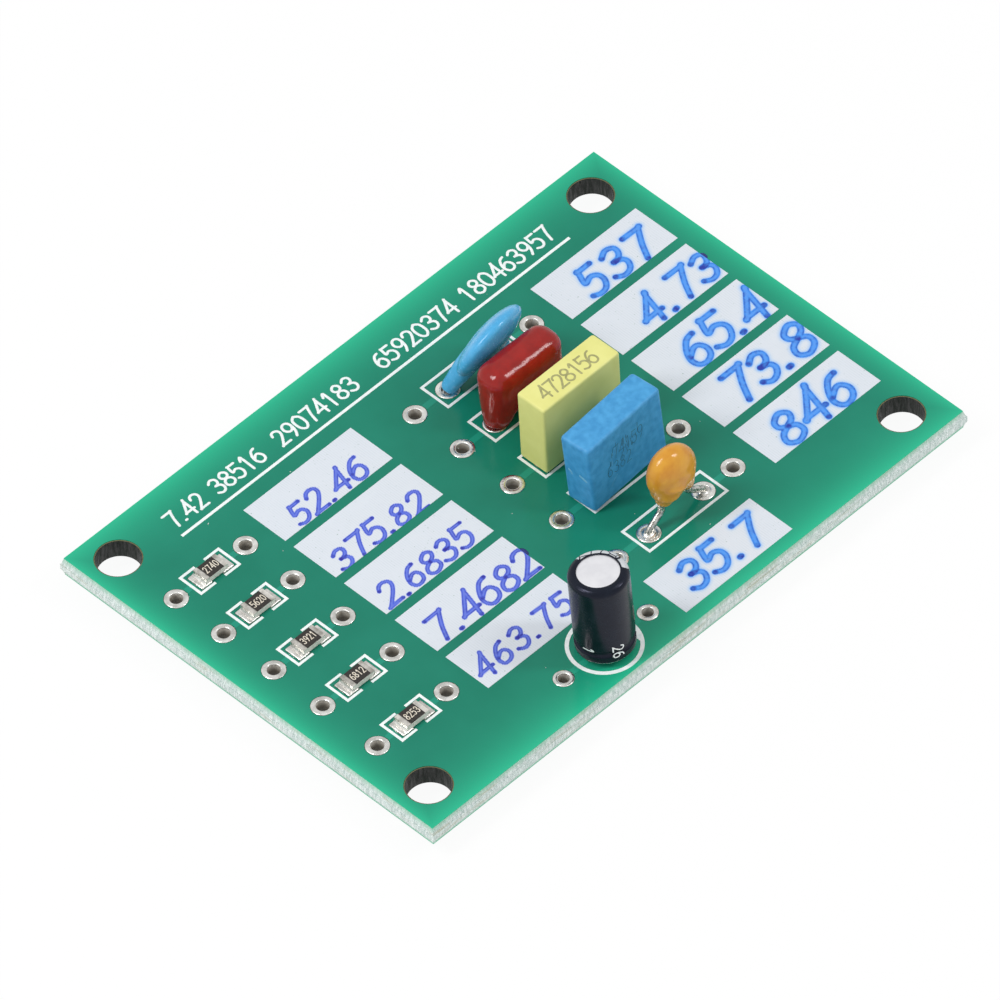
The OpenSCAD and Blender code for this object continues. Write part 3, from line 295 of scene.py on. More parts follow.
# Plated holes along each row, and along the electrolytic capacitor's
HOLE_COLUMNS = [x * MM for x in (-21.945, -15.575, 0.16, 3.21, 8.29, 11.1)]
CAN_COLUMNS = [x * MM for x in (-9.58, -6.67, -4.67, -1.76)]
CHIP_LANDS = (-20.32 * MM, -17.2 * MM)
RING_CLEAR = 0.88 * MM
SMALL_CLEAR = 0.76 * MM
RIDGE_W = 0.62 * MM
RIDGE_H = 0.012 * MM
RIDGE_SINK = 0.01 * MM
RIDGE_SLOPE = 0.8
runs = []
for y in ROWS:
    runs += [(HOLE_COLUMNS[0] + RING_CLEAR, CHIP_LANDS[0], y),
             (CHIP_LANDS[1], HOLE_COLUMNS[1] - RING_CLEAR, y)]
    runs += [(HOLE_COLUMNS[i] + RING_CLEAR, HOLE_COLUMNS[i + 1] - RING_CLEAR, y) for i in (2, 4)]
runs += [(CAN_COLUMNS[i] + SMALL_CLEAR, CAN_COLUMNS[i + 1] - SMALL_CLEAR, CAN_ROW) for i in (0, 2)]


def choose(pieces):
    """Selects only these pieces and makes the first of them active."""
    bpy.ops.object.select_all(action="DESELECT")
    for piece in pieces:
        piece.select_set(True)
    bpy.context.view_layer.objects.active = pieces[0]


def joined(name, parts):
    """Joins parts into the first of them, names it and puts its place in its mesh."""
    choose(parts)
    bpy.ops.object.join()
    parts[0].name = name
    bpy.ops.object.transform_apply()
    return parts[0]


def given(piece, finish, slot, *stands_for):
    """Paints a finished piece and gives it to the frame, for the CAD nodes that it stands for."""
    painted(piece, finish)
    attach(piece, "root")
    if stands_for:
        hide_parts(*stands_for)


ridges = []
for start, end, y in runs:
    bpy.ops.object.select_all(action="DESELECT")
    middle = ((start + end) / 2, y, BOARD_T + (RIDGE_H - RIDGE_SINK) / 2)
    bpy.ops.mesh.primitive_cube_add(size=1, location=middle,
                                    scale=(end - start, RIDGE_W, RIDGE_H + RIDGE_SINK))
    ridge = bpy.context.object
    bpy.ops.object.transform_apply(location=False, rotation=False, scale=True)
    for face in ridge.data.polygons:
        face.select = face.normal.z > 0.9
    bpy.ops.object.mode_set(mode="EDIT")
    bpy.ops.mesh.select_mode(type="FACE")
    bpy.ops.transform.resize(value=(1, RIDGE_SLOPE, 1))
    bpy.ops.object.mode_set(mode="OBJECT")
    ridges.append(ridge)
given(joined("mask_track_ridges", ridges), lacquers[1], "solder_mask")


def mottled(name, dark, light, size, shine, bump, **shader):
    """A finish that varies between two tones, with its shine and bumps in spots of one size."""
    finish, coords, _ = started(name)
    wide = spots(finish, coords, size)
    fine = spots(finish, coords, size / 4, 0.3, 0.7)
    mixed = add(finish, "Mix", {6: linear(dark), 7: linear(light)}, {0: wide})
    surfaced(finish, mixed, fine, shine, (fine, 0.6, bump), **shader)
    return finish


# Plated holes
# Test points and lead holes are plated through with copper and levelled with molten tin,
# which leaves the rings bright and slightly uneven.
tin = mottled("levelled_tin", "#c6c5c0", "#efeeea", 0.6 * MM, (0.2, 0.34), 0.01 * MM, Metallic=1)
# The walls of the holes are dull, and their colour is painted darker with depth, as painted shade
place = add(tin, "TexCoord").outputs["Object"]
axis = add(tin, "SeparateXYZ", links={0: place})
off = from_middle(tin, axis.outputs["Z"], BOARD_T / 2)
inside = add(tin, "MapRange", {"From Min": BOARD_T / 2, "From Max": BOARD_T / 2 - 0.06 * MM},
             {"Value": off})
patch = spots(tin, place, 0.3 * MM)
wall_tone_and_shade = add(tin, "Mix", {6: linear("#c2bcb1"), 7: linear("#f2eee6")}, {0: patch})
# Painted shade: darker towards the middle of the board's thickness, deep in the hole
depth = add(tin, "MapRange", {"From Min": BOARD_T / 2, "From Max": 0.1 * BOARD_T}, {"Value": off})
wall_tone_and_shade = add(tin, "Mix", {7: linear("#6f675a")}, {0: depth, 6: wall_tone_and_shade})
dull = add(tin, "BsdfPrincipled", {"Roughness": 0.4}, {"Base Color": wall_tone_and_shade})
done = next(n for n in tin.node_tree.nodes if n.type == "OUTPUT_MATERIAL")
bright = done.inputs["Surface"].links[0].from_socket
both = add(tin, "MixShader", links={0: inside, 1: bright, 2: dull})
tin.node_tree.links.new(both.outputs[0], done.inputs["Surface"])
for node in ("test_point_barrels", "lead_hole_barrels"):
    painted(node, tin)
# The tin has crept over each land to the lacquer and stands in a low round bead on both faces
BEAD_H = 0.05 * MM
WIDE_RING = (0.49 * MM, 0.84 * MM)
SMALL_RING = (0.43 * MM, 0.73 * MM)
rings = [(x, y, WIDE_RING) for y in ROWS for x in HOLE_COLUMNS]
rings += [(x, CAN_ROW, SMALL_RING) for x in CAN_COLUMNS]
beads = []
for inner, outer in (WIDE_RING, SMALL_RING):
    bpy.ops.object.select_all(action="DESELECT")
    bpy.ops.mesh.primitive_torus_add(major_segments=40, minor_segments=10,
                                     major_radius=(inner + outer) / 2,
                                     minor_radius=(outer - inner) / 2)
    bead = bpy.context.object
    bead.scale = (1, 1, BEAD_H / ((outer - inner) / 2))
    bpy.ops.object.transform_apply()
    for x, y, ring in rings:
        for face_z in (0, BOARD_T):
            if ring == (inner, outer):
                copy = bpy.data.objects.new("bead", bead.data.copy())
                bpy.context.scene.collection.objects.link(copy)
                copy.location = (x, y, face_z)
                beads.append(copy)
    bpy.data.objects.remove(bead)
beads = joined("levelled_tin_beads", beads)
bpy.ops.object.shade_smooth()
given(beads, tin, "tinned_copper")

# Screen printing
# White epoxy ink is squeezed through a screen: an outline round each part and a rule.
# Under the title edge stands a row of plain digits, drawn with one even round stroke.
SILK_T = 0.02 * MM
TITLE_Y = 13.52 * MM
TITLE_H = 1.36 * MM
TITLE_STEP = 0.925 * MM
TITLE_STROKE = 0.205 * MM
TITLE_GROUPS = [(-17.6, "7.42"), (-13.55, "38516"), (-7.7, "29074183"), (1.65, "65920374"),
                (9.75, "180463957")]
# Strokes of each digit in a box 0.6 wide and 1 high
DIGITS = {
    "0": [[(0.3, 1), (0.06, 0.82), (0, 0.5), (0.06, 0.18), (0.3, 0), (0.54, 0.18), (0.6, 0.5),
           (0.54, 0.82), (0.3, 1)]],
    "1": [[(0.12, 0.8), (0.32, 1), (0.32, 0)]],
    "2": [[(0.03, 0.78), (0.12, 0.95), (0.32, 1), (0.52, 0.9), (0.56, 0.7), (0.4, 0.42),
           (0.03, 0), (0.03, 0), (0.6, 0)]],
    "3": [[(0.04, 0.86), (0.26, 1), (0.5, 0.92), (0.55, 0.74), (0.45, 0.58), (0.25, 0.54)],
          [(0.25, 0.54), (0.5, 0.46), (0.6, 0.28), (0.5, 0.07), (0.27, 0), (0.02, 0.13)]],
    "4": [[(0.46, 0), (0.46, 1), (0.46, 1), (0, 0.32), (0, 0.32), (0.6, 0.32)]],
    "5": [[(0.55, 1), (0.1, 1), (0.1, 1), (0.06, 0.56), (0.3, 0.64), (0.52, 0.54), (0.6, 0.32),
           (0.5, 0.08), (0.27, 0), (0.02, 0.1)]],
    "6": [[(0.5, 0.96), (0.25, 0.88), (0.05, 0.6), (0, 0.3), (0.12, 0.06), (0.32, 0), (0.53, 0.1),
           (0.58, 0.33), (0.45, 0.54), (0.27, 0.57), (0.04, 0.4)]],
    "7": [[(0, 1), (0.6, 1), (0.6, 1), (0.38, 0.5), (0.25, 0)]],
    "8": [[(0.3, 0.54), (0.1, 0.65), (0.07, 0.85), (0.3, 1), (0.53, 0.85), (0.5, 0.65),
           (0.3, 0.54), (0.06, 0.4), (0.03, 0.15), (0.3, 0), (0.57, 0.15), (0.54, 0.4),
           (0.3, 0.54)]],
    "9": [[(0.56, 0.62), (0.4, 0.45), (0.2, 0.44), (0.03, 0.65), (0.1, 0.9), (0.3, 1),
           (0.5, 0.92), (0.57, 0.7), (0.5, 0.3), (0.3, 0)]],
    ".": [[(0.03, 0.02), (0.09, 0.03)]],
}


def rounded(points, steps=5):
    """A smooth line through the points. A point given twice stays a corner."""
    ends = [points[0]] + list(points) + [points[-1]]
    line = []
    for a, b, c, d in zip(ends, ends[1:], ends[2:], ends[3:]):
        for i in range(steps):
            t = i / steps
            line.append(tuple(0.5 * (2 * q + (r - p) * t + (2 * p - 5 * q + 4 * r - s) * t ** 2
                                     + (3 * q - p - 3 * r + s) * t ** 3)
                              for p, q, r, s in zip(a, b, c, d)))
    line.append(tuple(points[-1]))
    kept = [line[0]]
    for point in line[1:]:
        if math.dist(point, kept[-1]) > 0.01 * math.dist(points[0], points[1]) + 1e-9:
            kept.append(point)
    return kept


def row_of_digits(text, start, height, step, slant=0.0, wobble=0.0, seed=0, wide=1.0):
    """Strokes of a row of digits, each a smooth list of points. Wobble makes it handwriting."""
    dice = random.Random(seed)
    x, y = start
    strokes = []
    for sign in text:
        grow = 1 + dice.uniform(-wobble, wobble)
        lift = dice.uniform(-wobble, wobble) * 0.6
        for points in DIGITS[sign]:
            line = [((px * wide + slant * py) * grow + dice.uniform(-wobble, wobble) * 0.12,
                     py * grow + lift + dice.uniform(-wobble, wobble) * 0.12) for px, py in points]
            strokes.append(rounded([(x + px * height, y + py * height) for px, py in line]))
        x += step * (0.5 if sign == "." else 1)
    return strokes


def tubes(name, kind, lines, radius, fineness):
    """Closed round tubes as one mesh, along lines of places and shares of the radius."""
    bpy.ops.object.select_all(action="DESELECT")
    bpy.ops.curve.primitive_nurbs_path_add()
    piece = bpy.context.object
    piece.name = name
    piece.data.splines.clear()
    for line in lines:
        spline = piece.data.splines.new(kind)
        spline.points.add(len(line) - 1)
        for point, (place, share) in zip(spline.points, line):
            point.co = (*place, 1)
            point.radius = share
        spline.order_u = 3
        spline.use_endpoint_u = True
        spline.resolution_u = 6
    piece.data.bevel_depth = radius
    piece.data.bevel_resolution = fineness
    piece.data.use_fill_caps = True
    bpy.ops.object.convert(target="MESH")
    bpy.ops.object.shade_smooth()
    return bpy.context.object


def ink_lines(name, strokes, width, rise):
    """Strokes as one low mesh on the plane z = 0: tubes with tapered ends, pressed almost flat."""
    lines = []
    for stroke in strokes:
        first = Vector(stroke[0]) - Vector(stroke[1])
        last = Vector(stroke[-1]) - Vector(stroke[-2])
        line = [(p, 1) for p in stroke]
        for share, radius in ((0.25, 0.86), (0.42, 0.5), (0.49, 0.15)):
            line.insert(0, (Vector(stroke[0]) + first.normalized() * share * width, radius))
            line.append((Vector(stroke[-1]) + last.normalized() * share * width, radius))
        lines.append([((*place, 0), radius) for place, radius in line])
    piece = tubes(name, "POLY", lines, width / 2, 2)
    piece.data.transform(Matrix.Diagonal((1, 1, rise / (width / 2), 1)))
    return piece


def settled(piece, place, finish, slot):
    """Puts a finished mark in its place and gives it to the frame."""
    piece.data.transform(place)
    piece.data.update()
    given(piece, finish, slot)


# The printed white is even and nearly matt, with a grain as fine as the screen
ink = mottled("white_screen_ink", "#e8f2f2", "#fafcfb", 0.4 * MM, (0.45, 0.6), 0.004 * MM)
for node in ("silkscreen_outlines", "silkscreen_title_rule"):
    painted(node, ink)
title = []
for x, text in TITLE_GROUPS:
    title += row_of_digits(text, (x * MM, TITLE_Y), TITLE_H, TITLE_STEP, wide=0.86)
ON_BOARD = Matrix.Translation((0, 0, BOARD_T))
settled(ink_lines("title_digits", title, TITLE_STROKE, SILK_T), ON_BOARD, ink, "white_ink")

# Writing panels
# Eleven white panels are screened over the mask. The screen's threads left fine grey lines in
# them, and the measured values are written on with a felt pen: violet-blue, or blue and bleeding.
PANEL_W = 9.95 * MM
PANEL_H = 3.95 * MM
PANEL_STEP = 4.71 * MM
PANEL_CELL = 0.07 * MM
THREAD_PITCH = 0.17 * MM
LEFT_PANELS = -13.515 * MM
RIGHT_PANELS = 13.28 * MM
CAN_PANEL = (-0.05 * MM, -14.275 * MM)
SLANT = 0.25
# Where a stroke's ink ends, darkens in a rim, pools at a rest and bleeds, as shares of its
# width, then the share over which it fades and how much ink it leaves
EDGE = (0.58, 0.16, 0.5)
RIM = (0.4, 0.13, 0.27)
REST = (0.6, 0.3, 0.6)
BLEED = (0.5, 0.35, 0.55)
# value, x and y where the writing starts, height, step, stroke width, which pen
WRITING = [
    ("52.46", -11.9, 7.6, 1.8, 1.5, 0.3, "violet"),
    ("375.82", -12.8, 2.75, 1.8, 1.52, 0.3, "violet"),
    ("2.6835", -12.9, -1.8, 1.9, 1.5, 0.3, "violet"),
    ("7.4682", -12.85, -6.5, 2.1, 1.72, 0.33, "violet"),
    ("463.75", -13.1, -10.7, 1.85, 1.62, 0.3, "violet"),
    ("537", 15.6, 7.55, 2.6, 2.2, 0.45, "blue"),
    ("4.73", 16.4, 3.05, 2.4, 2.05, 0.44, "blue"),
    ("65.4", 15.8, -1.75, 2.6, 2.1, 0.47, "blue"),
    ("73.8", 15.5, -6.2, 2.7, 2.2, 0.49, "blue"),
    ("846", 15.0, -11.2, 2.7, 2.3, 0.48, "blue"),
    ("35.7", 1.6, -15.5, 2.5, 2.05, 0.44, "blue"),
]


def distance_to(points, line):
    """The distance of each grid point to a line of short segments."""
    best = np.full(len(points), 1e9)
    line = np.array(line)
    for start, end in zip(line, line[1:]):
        way = end - start
        share = np.clip((points - start) @ way / max(way @ way, 1e-18), 0, 1)
        best = np.minimum(best, np.linalg.norm(points - start - share[:, None] * way, axis=1))
    return best


# The felt pen's ink is translucent: its strokes are streaked, darker where two cross or at
# their rims, and the blue one has bled a pale halo into the white
paper_ink, place, axis = started("written_white_ink")
wander = spots(paper_ink, place, 2.0 * MM)
turn = add(paper_ink, "Math", {1: math.tau / THREAD_PITCH}, {0: axis[0]}, operation="MULTIPLY")
turn = add(paper_ink, "Math", {1: 1.2}, {0: wander, 2: turn}, operation="MULTIPLY_ADD")
wave = add(paper_ink, "Math", links={0: turn}, operation="SINE")
thread = add(paper_ink, "MapRange", {"From Min": 0.1, "From Max": 1, "To Max": 0.3},
             {"Value": wave})
patch = spots(paper_ink, place, 1.1 * MM, 0.3, 0.6)
thread = add(paper_ink, "Math", links={0: thread, 1: patch}, operation="MULTIPLY")
tone = add(paper_ink, "Mix", {6: linear("#dce2ea"), 7: linear("#bdc8cf")}, {0: thread})
fleck = spots(paper_ink, place, 0.16 * MM, 0.68, 0.74)
tone = add(paper_ink, "Mix", {7: linear("#9fb5ae")}, {0: fleck, 6: tone})
halo = add(paper_ink, "Attribute", attribute_name="halo")
tone = add(paper_ink, "Mix", {7: linear("#8fc0f2")}, {0: halo.outputs["Fac"], 6: tone})
streak = spots(paper_ink, place, 0.3 * MM, 0.3, 0.7)
for light, dark, amount in (("#4d66da", "#241f96", "violet_ink"),
                            ("#3f92f0", "#1730a0", "blue_ink")):
    laid = add(paper_ink, "Attribute", attribute_name=amount)
    uneven = add(paper_ink, "Math", {1: 0.3}, {0: streak, 2: laid.outputs["Fac"]},
                 operation="MULTIPLY_ADD")
    deep = add(paper_ink, "MapRange", {"From Min": 0.66, "From Max": 1.12}, {"Value": uneven})
    wet = add(paper_ink, "Mix", {6: linear(light), 7: linear(dark)}, {0: deep})
    cover = add(paper_ink, "MapRange", {"From Min": 0.02, "From Max": 0.55},
                {"Value": laid.outputs["Fac"]})
    tone = add(paper_ink, "Mix", links={0: cover, 6: tone, 7: wet})
surfaced(paper_ink, tone, patch, (0.45, 0.62), (thread, 0.5, 0.005 * MM), IOR=1.5)
# Over the bare lacquer the same ink is dark, thin and a little glossy
stray, place, _ = started("felt_pen_over_lacquer")
patch = spots(stray, place, 0.3 * MM)
tone = add(stray, "Mix", {6: linear("#12205a"), 7: linear("#1b2f7a")}, {0: patch})
surfaced(stray, tone, patch, (0.2, 0.45), IOR=1.5)

places = [(LEFT_PANELS, (2 - row) * PANEL_STEP) for row in range(5)]
places += [(RIGHT_PANELS, (2 - row) * PANEL_STEP) for row in range(5)] + [CAN_PANEL]
over_lacquer = []
for number, ((left, middle), written) in enumerate(zip(places, WRITING)):
    text, x, y, height, step, width, pen = written
    strokes = row_of_digits(text, (x * MM, y * MM), height * MM, step * MM, SLANT, 0.07,
                            seed=number + 3)
    bpy.ops.object.select_all(action="DESELECT")
    cells = (round(PANEL_W / PANEL_CELL), round(PANEL_H / PANEL_CELL))
    bpy.ops.mesh.primitive_grid_add(x_subdivisions=cells[0], y_subdivisions=cells[1], size=1,
                                    location=(left + PANEL_W / 2, middle, BOARD_T + SILK_T))
    panel = bpy.context.object
    panel.name = f"writing_panel_{number + 1:02d}"
    panel.scale = (PANEL_W, PANEL_H, 1)
    bpy.ops.object.transform_apply()
    points = np.array([v.co[:2] for v in panel.data.vertices])
    # Each stroke leaves part of its ink, and more where two cross or where the pen first rests
    clear = np.ones(len(points))
    glow_ink = np.ones(len(points))
    for stroke in strokes:
        away = distance_to(points, stroke) / (width * MM)
        lies = np.clip((EDGE[0] - away) / EDGE[1], 0, 1)
        rim = np.exp(-((away - RIM[0]) / RIM[1]) ** 2)
        clear *= 1 - lies * (EDGE[2] + RIM[2] * rim)
        for end in (stroke[0], stroke[-1]):
            rests = np.linalg.norm(points - np.array(end), axis=1) / (width * MM)
            clear *= 1 - REST[2] * np.clip((REST[0] - rests) / REST[1], 0, 1)
        if pen == "blue":
            glow_ink *= 1 - BLEED[2] * np.exp(-(np.maximum(away - BLEED[0], 0) / BLEED[1]) ** 2)
    for name, amount in (("violet_ink", (1 - clear) * (pen == "violet")),
                         ("blue_ink", (1 - clear) * (pen == "blue")), ("halo", 1 - glow_ink)):
        layer = panel.data.attributes.new(name, "FLOAT", "POINT")
        layer.data.foreach_set("value", amount.astype(np.float32))
    bpy.ops.object.mode_set(mode="EDIT")
    bpy.ops.mesh.select_all(action="SELECT")
    bpy.ops.mesh.region_to_loop()
    bpy.ops.mesh.extrude_edges_move(TRANSFORM_OT_translate={"value": (0, 0, -SILK_T)})
    bpy.ops.mesh.edge_face_add()
    bpy.ops.mesh.select_all(action="SELECT")
    bpy.ops.mesh.normals_make_consistent(inside=False)
    bpy.ops.object.mode_set(mode="OBJECT")
    given(panel, paper_ink, "white_ink")
    if number == 0:
        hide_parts("silkscreen_label_panels")
    # What of a stroke runs past the panel lies on the lacquer
    for stroke in strokes:
        part = []
        for point in stroke + [(left + PANEL_W / 2, middle)]:
            inside = (left < point[0] < left + PANEL_W
                      and abs(point[1] - middle) < PANEL_H / 2 + 0.15 * MM)
            if not inside:
                part.append(point)
            else:
                if len(part) > 2:
                    over_lacquer.append((part, width * MM, number))
                part = []
numbers = sorted({number for _, _, number in over_lacquer})
for number in numbers:
    parts = [part for part, _, owner in over_lacquer if owner == number]
    wide = [width for _, width, owner in over_lacquer if owner == number][0]
    tail = ink_lines(f"pen_tail_{number + 1:02d}", parts, wide * 0.9, 0.008 * MM)
    settled(tail, ON_BOARD, stray, "white_ink")

# Chip resistors
# Five alumina chips carry a resistive film under black glaze, with tinned ends wrapped round
# them. Each is soldered at both ends, and a plain number is laser-marked on its glaze.
CHIP_TOP = 2.145 * MM
CODES = ["2740", "5620", "3921", "6812", "8253"]
CODE_H = 0.54 * MM
CODE_STEP = 0.3 * MM
CODE_STROKE = 0.072 * MM
CODE_T = 0.005 * MM
# Solder is lumpy and mirror-bright, the fired body matt and chalky, and the plated ends satin.
# The glaze is a glassy black, the film below it a dull brown, and the lasered marks are chalk pale
solder = mottled("bright_solder", "#bdbbb6", "#f2f0eb", 0.7 * MM, (0.2, 0.34), 0.012 * MM,
                 Metallic=1)
alumina = mottled("fired_alumina", "#dcd9d0", "#f3f1ea", 0.1 * MM, (0.5, 0.7), 0.006 * MM)
nickel = mottled("tinned_nickel", "#a5a29b", "#e6e3dc", 0.6 * MM, (0.36, 0.48), 0.006 * MM,
                 Metallic=1)
glaze = mottled("black_glaze", "#181310", "#2c2520", 0.12 * MM, (0.22, 0.4), 0.005 * MM, IOR=1.5)
film = mottled("resistive_film", "#3b2d25", "#5a4636", 0.1 * MM, (0.4, 0.6), 0.003 * MM)
marking = mottled("laser_marking", "#d3c8b4", "#efe7d8", 0.1 * MM, (0.5, 0.7), 0.003 * MM)
painted("chip_solder_fillets", solder)
painted("resistor_film_elements", film)
for chip in range(1, 6):
    painted(f"resistor_{chip}_substrate", alumina)
    painted(f"resistor_{chip}_end_caps", nickel)
    painted(f"resistor_{chip}_overcoat", glaze)
for chip, (code, y) in enumerate(zip(CODES, ROWS), start=1):
    strokes = row_of_digits(code, (-1.8 * CODE_STEP, -CODE_H / 2), CODE_H, CODE_STEP, wide=0.62)
    settled(ink_lines(f"resistor_{chip}_marking", strokes, CODE_STROKE, CODE_T),
            Matrix.Translation((CHIP_X, y, CHIP_TOP)), marking, "white_ink")
# Solder wets each land to its edges and stands on it in a low pool
LAND = (0.98 * MM, 1.43 * MM)
LAND_GAP = 1.0 * MM
POOL_H = 0.2 * MM
pools = []
for y in ROWS:
    for side in (-1, 1):
        bpy.ops.object.select_all(action="DESELECT")
        out = side * (LAND_GAP + LAND[0]) / 2
        bpy.ops.mesh.primitive_cube_add(size=1, location=(CHIP_X + out, y, BOARD_T),
                                        scale=(LAND[0], LAND[1], POOL_H))
        pool = bpy.context.object
        bpy.ops.object.transform_apply()
        edge = pool.modifiers.new("round", "BEVEL")
        edge.width = 0.09 * MM
        edge.segments = 4
        bpy.ops.object.modifier_apply(modifier=edge.name)
        pools.append(pool)
pools = joined("chip_solder_pools", pools)
bpy.ops.object.shade_smooth()
given(pools, solder, "solder")

# Soldered leads
# Wave soldering has filled each lead hole and drawn a low cone of tin up its wire. The cones
# are lumpy and bright, with a groove where the tin met the ring.
painted("lead_solder_joints", solder)
# The wires are polished by the bending tool, with duller streaks
wire = mottled("tinned_wire", "#8f8c86", "#e2dfd8", 0.35 * MM, (0.14, 0.3), 0.01 * MM, Metallic=1)
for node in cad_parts:
    if node.endswith("_leads"):
        painted(node, wire)


def copied(node, name):
    """A copy of a CAD node as a piece of its own, with its doubled vertices merged."""
    piece = bpy.data.objects.new(name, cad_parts[node].data.copy())
    bpy.context.scene.collection.objects.link(piece)
    choose([piece])
    bpy.ops.object.mode_set(mode="EDIT")
    bpy.ops.mesh.select_all(action="SELECT")
    bpy.ops.mesh.remove_doubles(threshold=1e-6)
    bpy.ops.object.mode_set(mode="OBJECT")
    return piece


def tapered(start, end, low_r, high_r):
    """A round stem between two points, wider or narrower at its end."""
    way = Vector(end) - Vector(start)
    bpy.ops.object.select_all(action="DESELECT")
    bpy.ops.mesh.primitive_cone_add(vertices=48, radius1=low_r, radius2=high_r, depth=way.length,
                                    location=(Vector(start) + Vector(end)) / 2,
                                    rotation=way.to_track_quat("Z", "Y").to_euler())
    return bpy.context.object


def ball(place, size):
    """A sphere of three radii at a place."""
    bpy.ops.object.select_all(action="DESELECT")
    bpy.ops.mesh.primitive_uv_sphere_add(segments=48, ring_count=24, radius=1, location=place,
                                         scale=size)
    return bpy.context.object


def dipped(piece, cell, smooth, wave=0):
    """Fuses joined forms into one dipped skin: remeshed, smoothed and, with a wave, uneven."""
    choose([piece])
    steps = [("REMESH", {"mode": "VOXEL", "voxel_size": cell}),
             ("SMOOTH", {"factor": 0.5, "iterations": smooth})]
    if wave:
        clouds = bpy.data.textures.new(piece.name + "_waves", "CLOUDS")
        clouds.noise_scale = 0.9 * MM
        clouds.noise_depth = 1
        steps.append(("DISPLACE", {"texture": clouds, "strength": wave, "mid_level": 0.5,
                                   "texture_coords": "LOCAL"}))
    for kind, values in steps:
        change = piece.modifiers.new(kind.lower(), kind)
        for name, value in values.items():
            setattr(change, name, value)
        bpy.ops.object.modifier_apply(modifier=change.name)
    bpy.ops.object.shade_smooth()
    return piece


# Disc capacitor
# A ceramic disc with a lead soldered to each face is dipped in blue epoxy. It leans back, and
# its skin runs down each lead to the board as a thick smooth leg.
LEAD_X = HOLE_COLUMNS[3:5]
LEAD_R = 0.26 * MM
LEAD_LOW = -1.1 * MM
DISC_MIDDLE = Vector((5.9 * MM, 7.68 * MM, 5.35 * MM))
DISC_R = 3.06 * MM
DISC_T = 1.9 * MM
CERAMIC_R = 2.3 * MM
CERAMIC_T = 0.5 * MM
SILVER_R = 2.1 * MM
SILVER_T = 0.05 * MM
DISC_TURN = math.radians(8.5)
DISC_LEAN = math.radians(24.7)
disc_pose = (Matrix.Translation(DISC_MIDDLE) @ Matrix.Rotation(DISC_TURN, 4, "Z")
             @ Matrix.Rotation(DISC_LEAN, 4, "X"))
# The epoxy skin is glossy with an orange peel. The hidden ceramic is matt, and its silver dull
blue_dip = mottled("blue_dip", "#46a8dd", "#57b5e8", 0.9 * MM, (0.16, 0.3), 0.005 * MM, IOR=1.5)
fawn = mottled("fawn_ceramic", "#b09a78", "#d6c6a4", 0.25 * MM, (0.5, 0.7), 0.008 * MM)
silver = mottled("fired_silver", "#b9b7b2", "#e4e2dc", 0.25 * MM, (0.3, 0.5), 0.008 * MM,
                 Metallic=1)


def disc_plate(name, radius, thickness, out):
    """A flat round plate in the disc's pose, out from its middle plane."""
    bpy.ops.object.select_all(action="DESELECT")
    bpy.ops.mesh.primitive_cylinder_add(vertices=64, radius=radius, depth=thickness,
                                        location=(0, out, 0), rotation=(math.pi / 2, 0, 0))
    plate = bpy.context.object
    plate.name = name
    bpy.ops.object.transform_apply()
    plate.data.transform(disc_pose)
    return plate


given(disc_plate("disc_capacitor_ceramic", CERAMIC_R, CERAMIC_T, 0), fawn, "disc_ceramic",
      "disc_capacitor_dielectric")
SILVER_OUT = (CERAMIC_T + SILVER_T) / 2
faces = [disc_plate("silver_face", SILVER_R, SILVER_T, out) for out in (SILVER_OUT, -SILVER_OUT)]
given(joined("disc_capacitor_silver_faces", faces), silver, "silver_electrode",
      "disc_capacitor_electrodes")
KNEES = ((4.25 * MM, 8.38 * MM, 3.6 * MM), (7.6 * MM, 8.75 * MM, 3.6 * MM))
routes = []
for x, inward, knee in zip(LEAD_X, (1, -1), KNEES):
    back = inward * (SILVER_OUT + LEAD_R)
    route = [(x, ROWS[0], LEAD_LOW), (x, ROWS[0], 0), (x, ROWS[0], 1.9 * MM), knee]
    route.append(disc_pose @ Vector((-inward * 1.3 * MM, back, -0.9 * MM)))
    route.append(disc_pose @ Vector((-inward * 1.0 * MM, back, -0.2 * MM)))
    routes.append([(place, 1) for place in route])
disc_wires = tubes("disc_capacitor_wires", "NURBS", routes, LEAD_R, 4)
given(disc_wires, wire, "tinned_wire", "disc_capacitor_leads")
bpy.ops.object.select_all(action="DESELECT")
bpy.ops.mesh.primitive_uv_sphere_add(segments=64, ring_count=32, radius=1,
                                     scale=(DISC_R, DISC_T / 2, DISC_R))
leaf = bpy.context.object
bpy.ops.object.transform_apply()
leaf.data.transform(disc_pose)
disc_parts = [leaf]
LEG_TOPS = ((5.3 * MM, 7.95 * MM, 4.9 * MM), (6.9 * MM, 8.2 * MM, 4.7 * MM))
LEG_FOOT = 1.66 * MM
FOOT_R = 0.57 * MM
KNEE_R = 0.78 * MM
LEG_TOP_R = 0.8 * MM
for x, knee, top in zip(LEAD_X, KNEES, LEG_TOPS):
    disc_parts += [tapered((x, ROWS[0], LEG_FOOT), knee, FOOT_R, KNEE_R),
                   ball(knee, (KNEE_R, KNEE_R, KNEE_R)), tapered(knee, top, KNEE_R, LEG_TOP_R)]
disc = dipped(joined("disc_capacitor_skin", disc_parts), 0.08 * MM, 40, 0.02 * MM)
given(disc, blue_dip, "blue_dip", "disc_capacitor_coating")

# Dipped film capacitor
# A wound film element is dipped in red epoxy, which is glossy and slightly wavy. The skin
# narrows towards the board and ends in a wet foot round each lead.
# Deep red and wet, so that it mirrors the lamps sharply
red_dip = mottled("red_dip", "#8e140f", "#a01912", 0.9 * MM, (0.11, 0.18), 0.005 * MM,
                  **{"IOR": 1.55, "Specular IOR Level": 0.33})
red_parts = [copied("film_capacitor_coating", "film_coat"),
             copied("film_capacitor_winding", "film_core"),
             copied("film_capacitor_end_spray", "film_ends")]
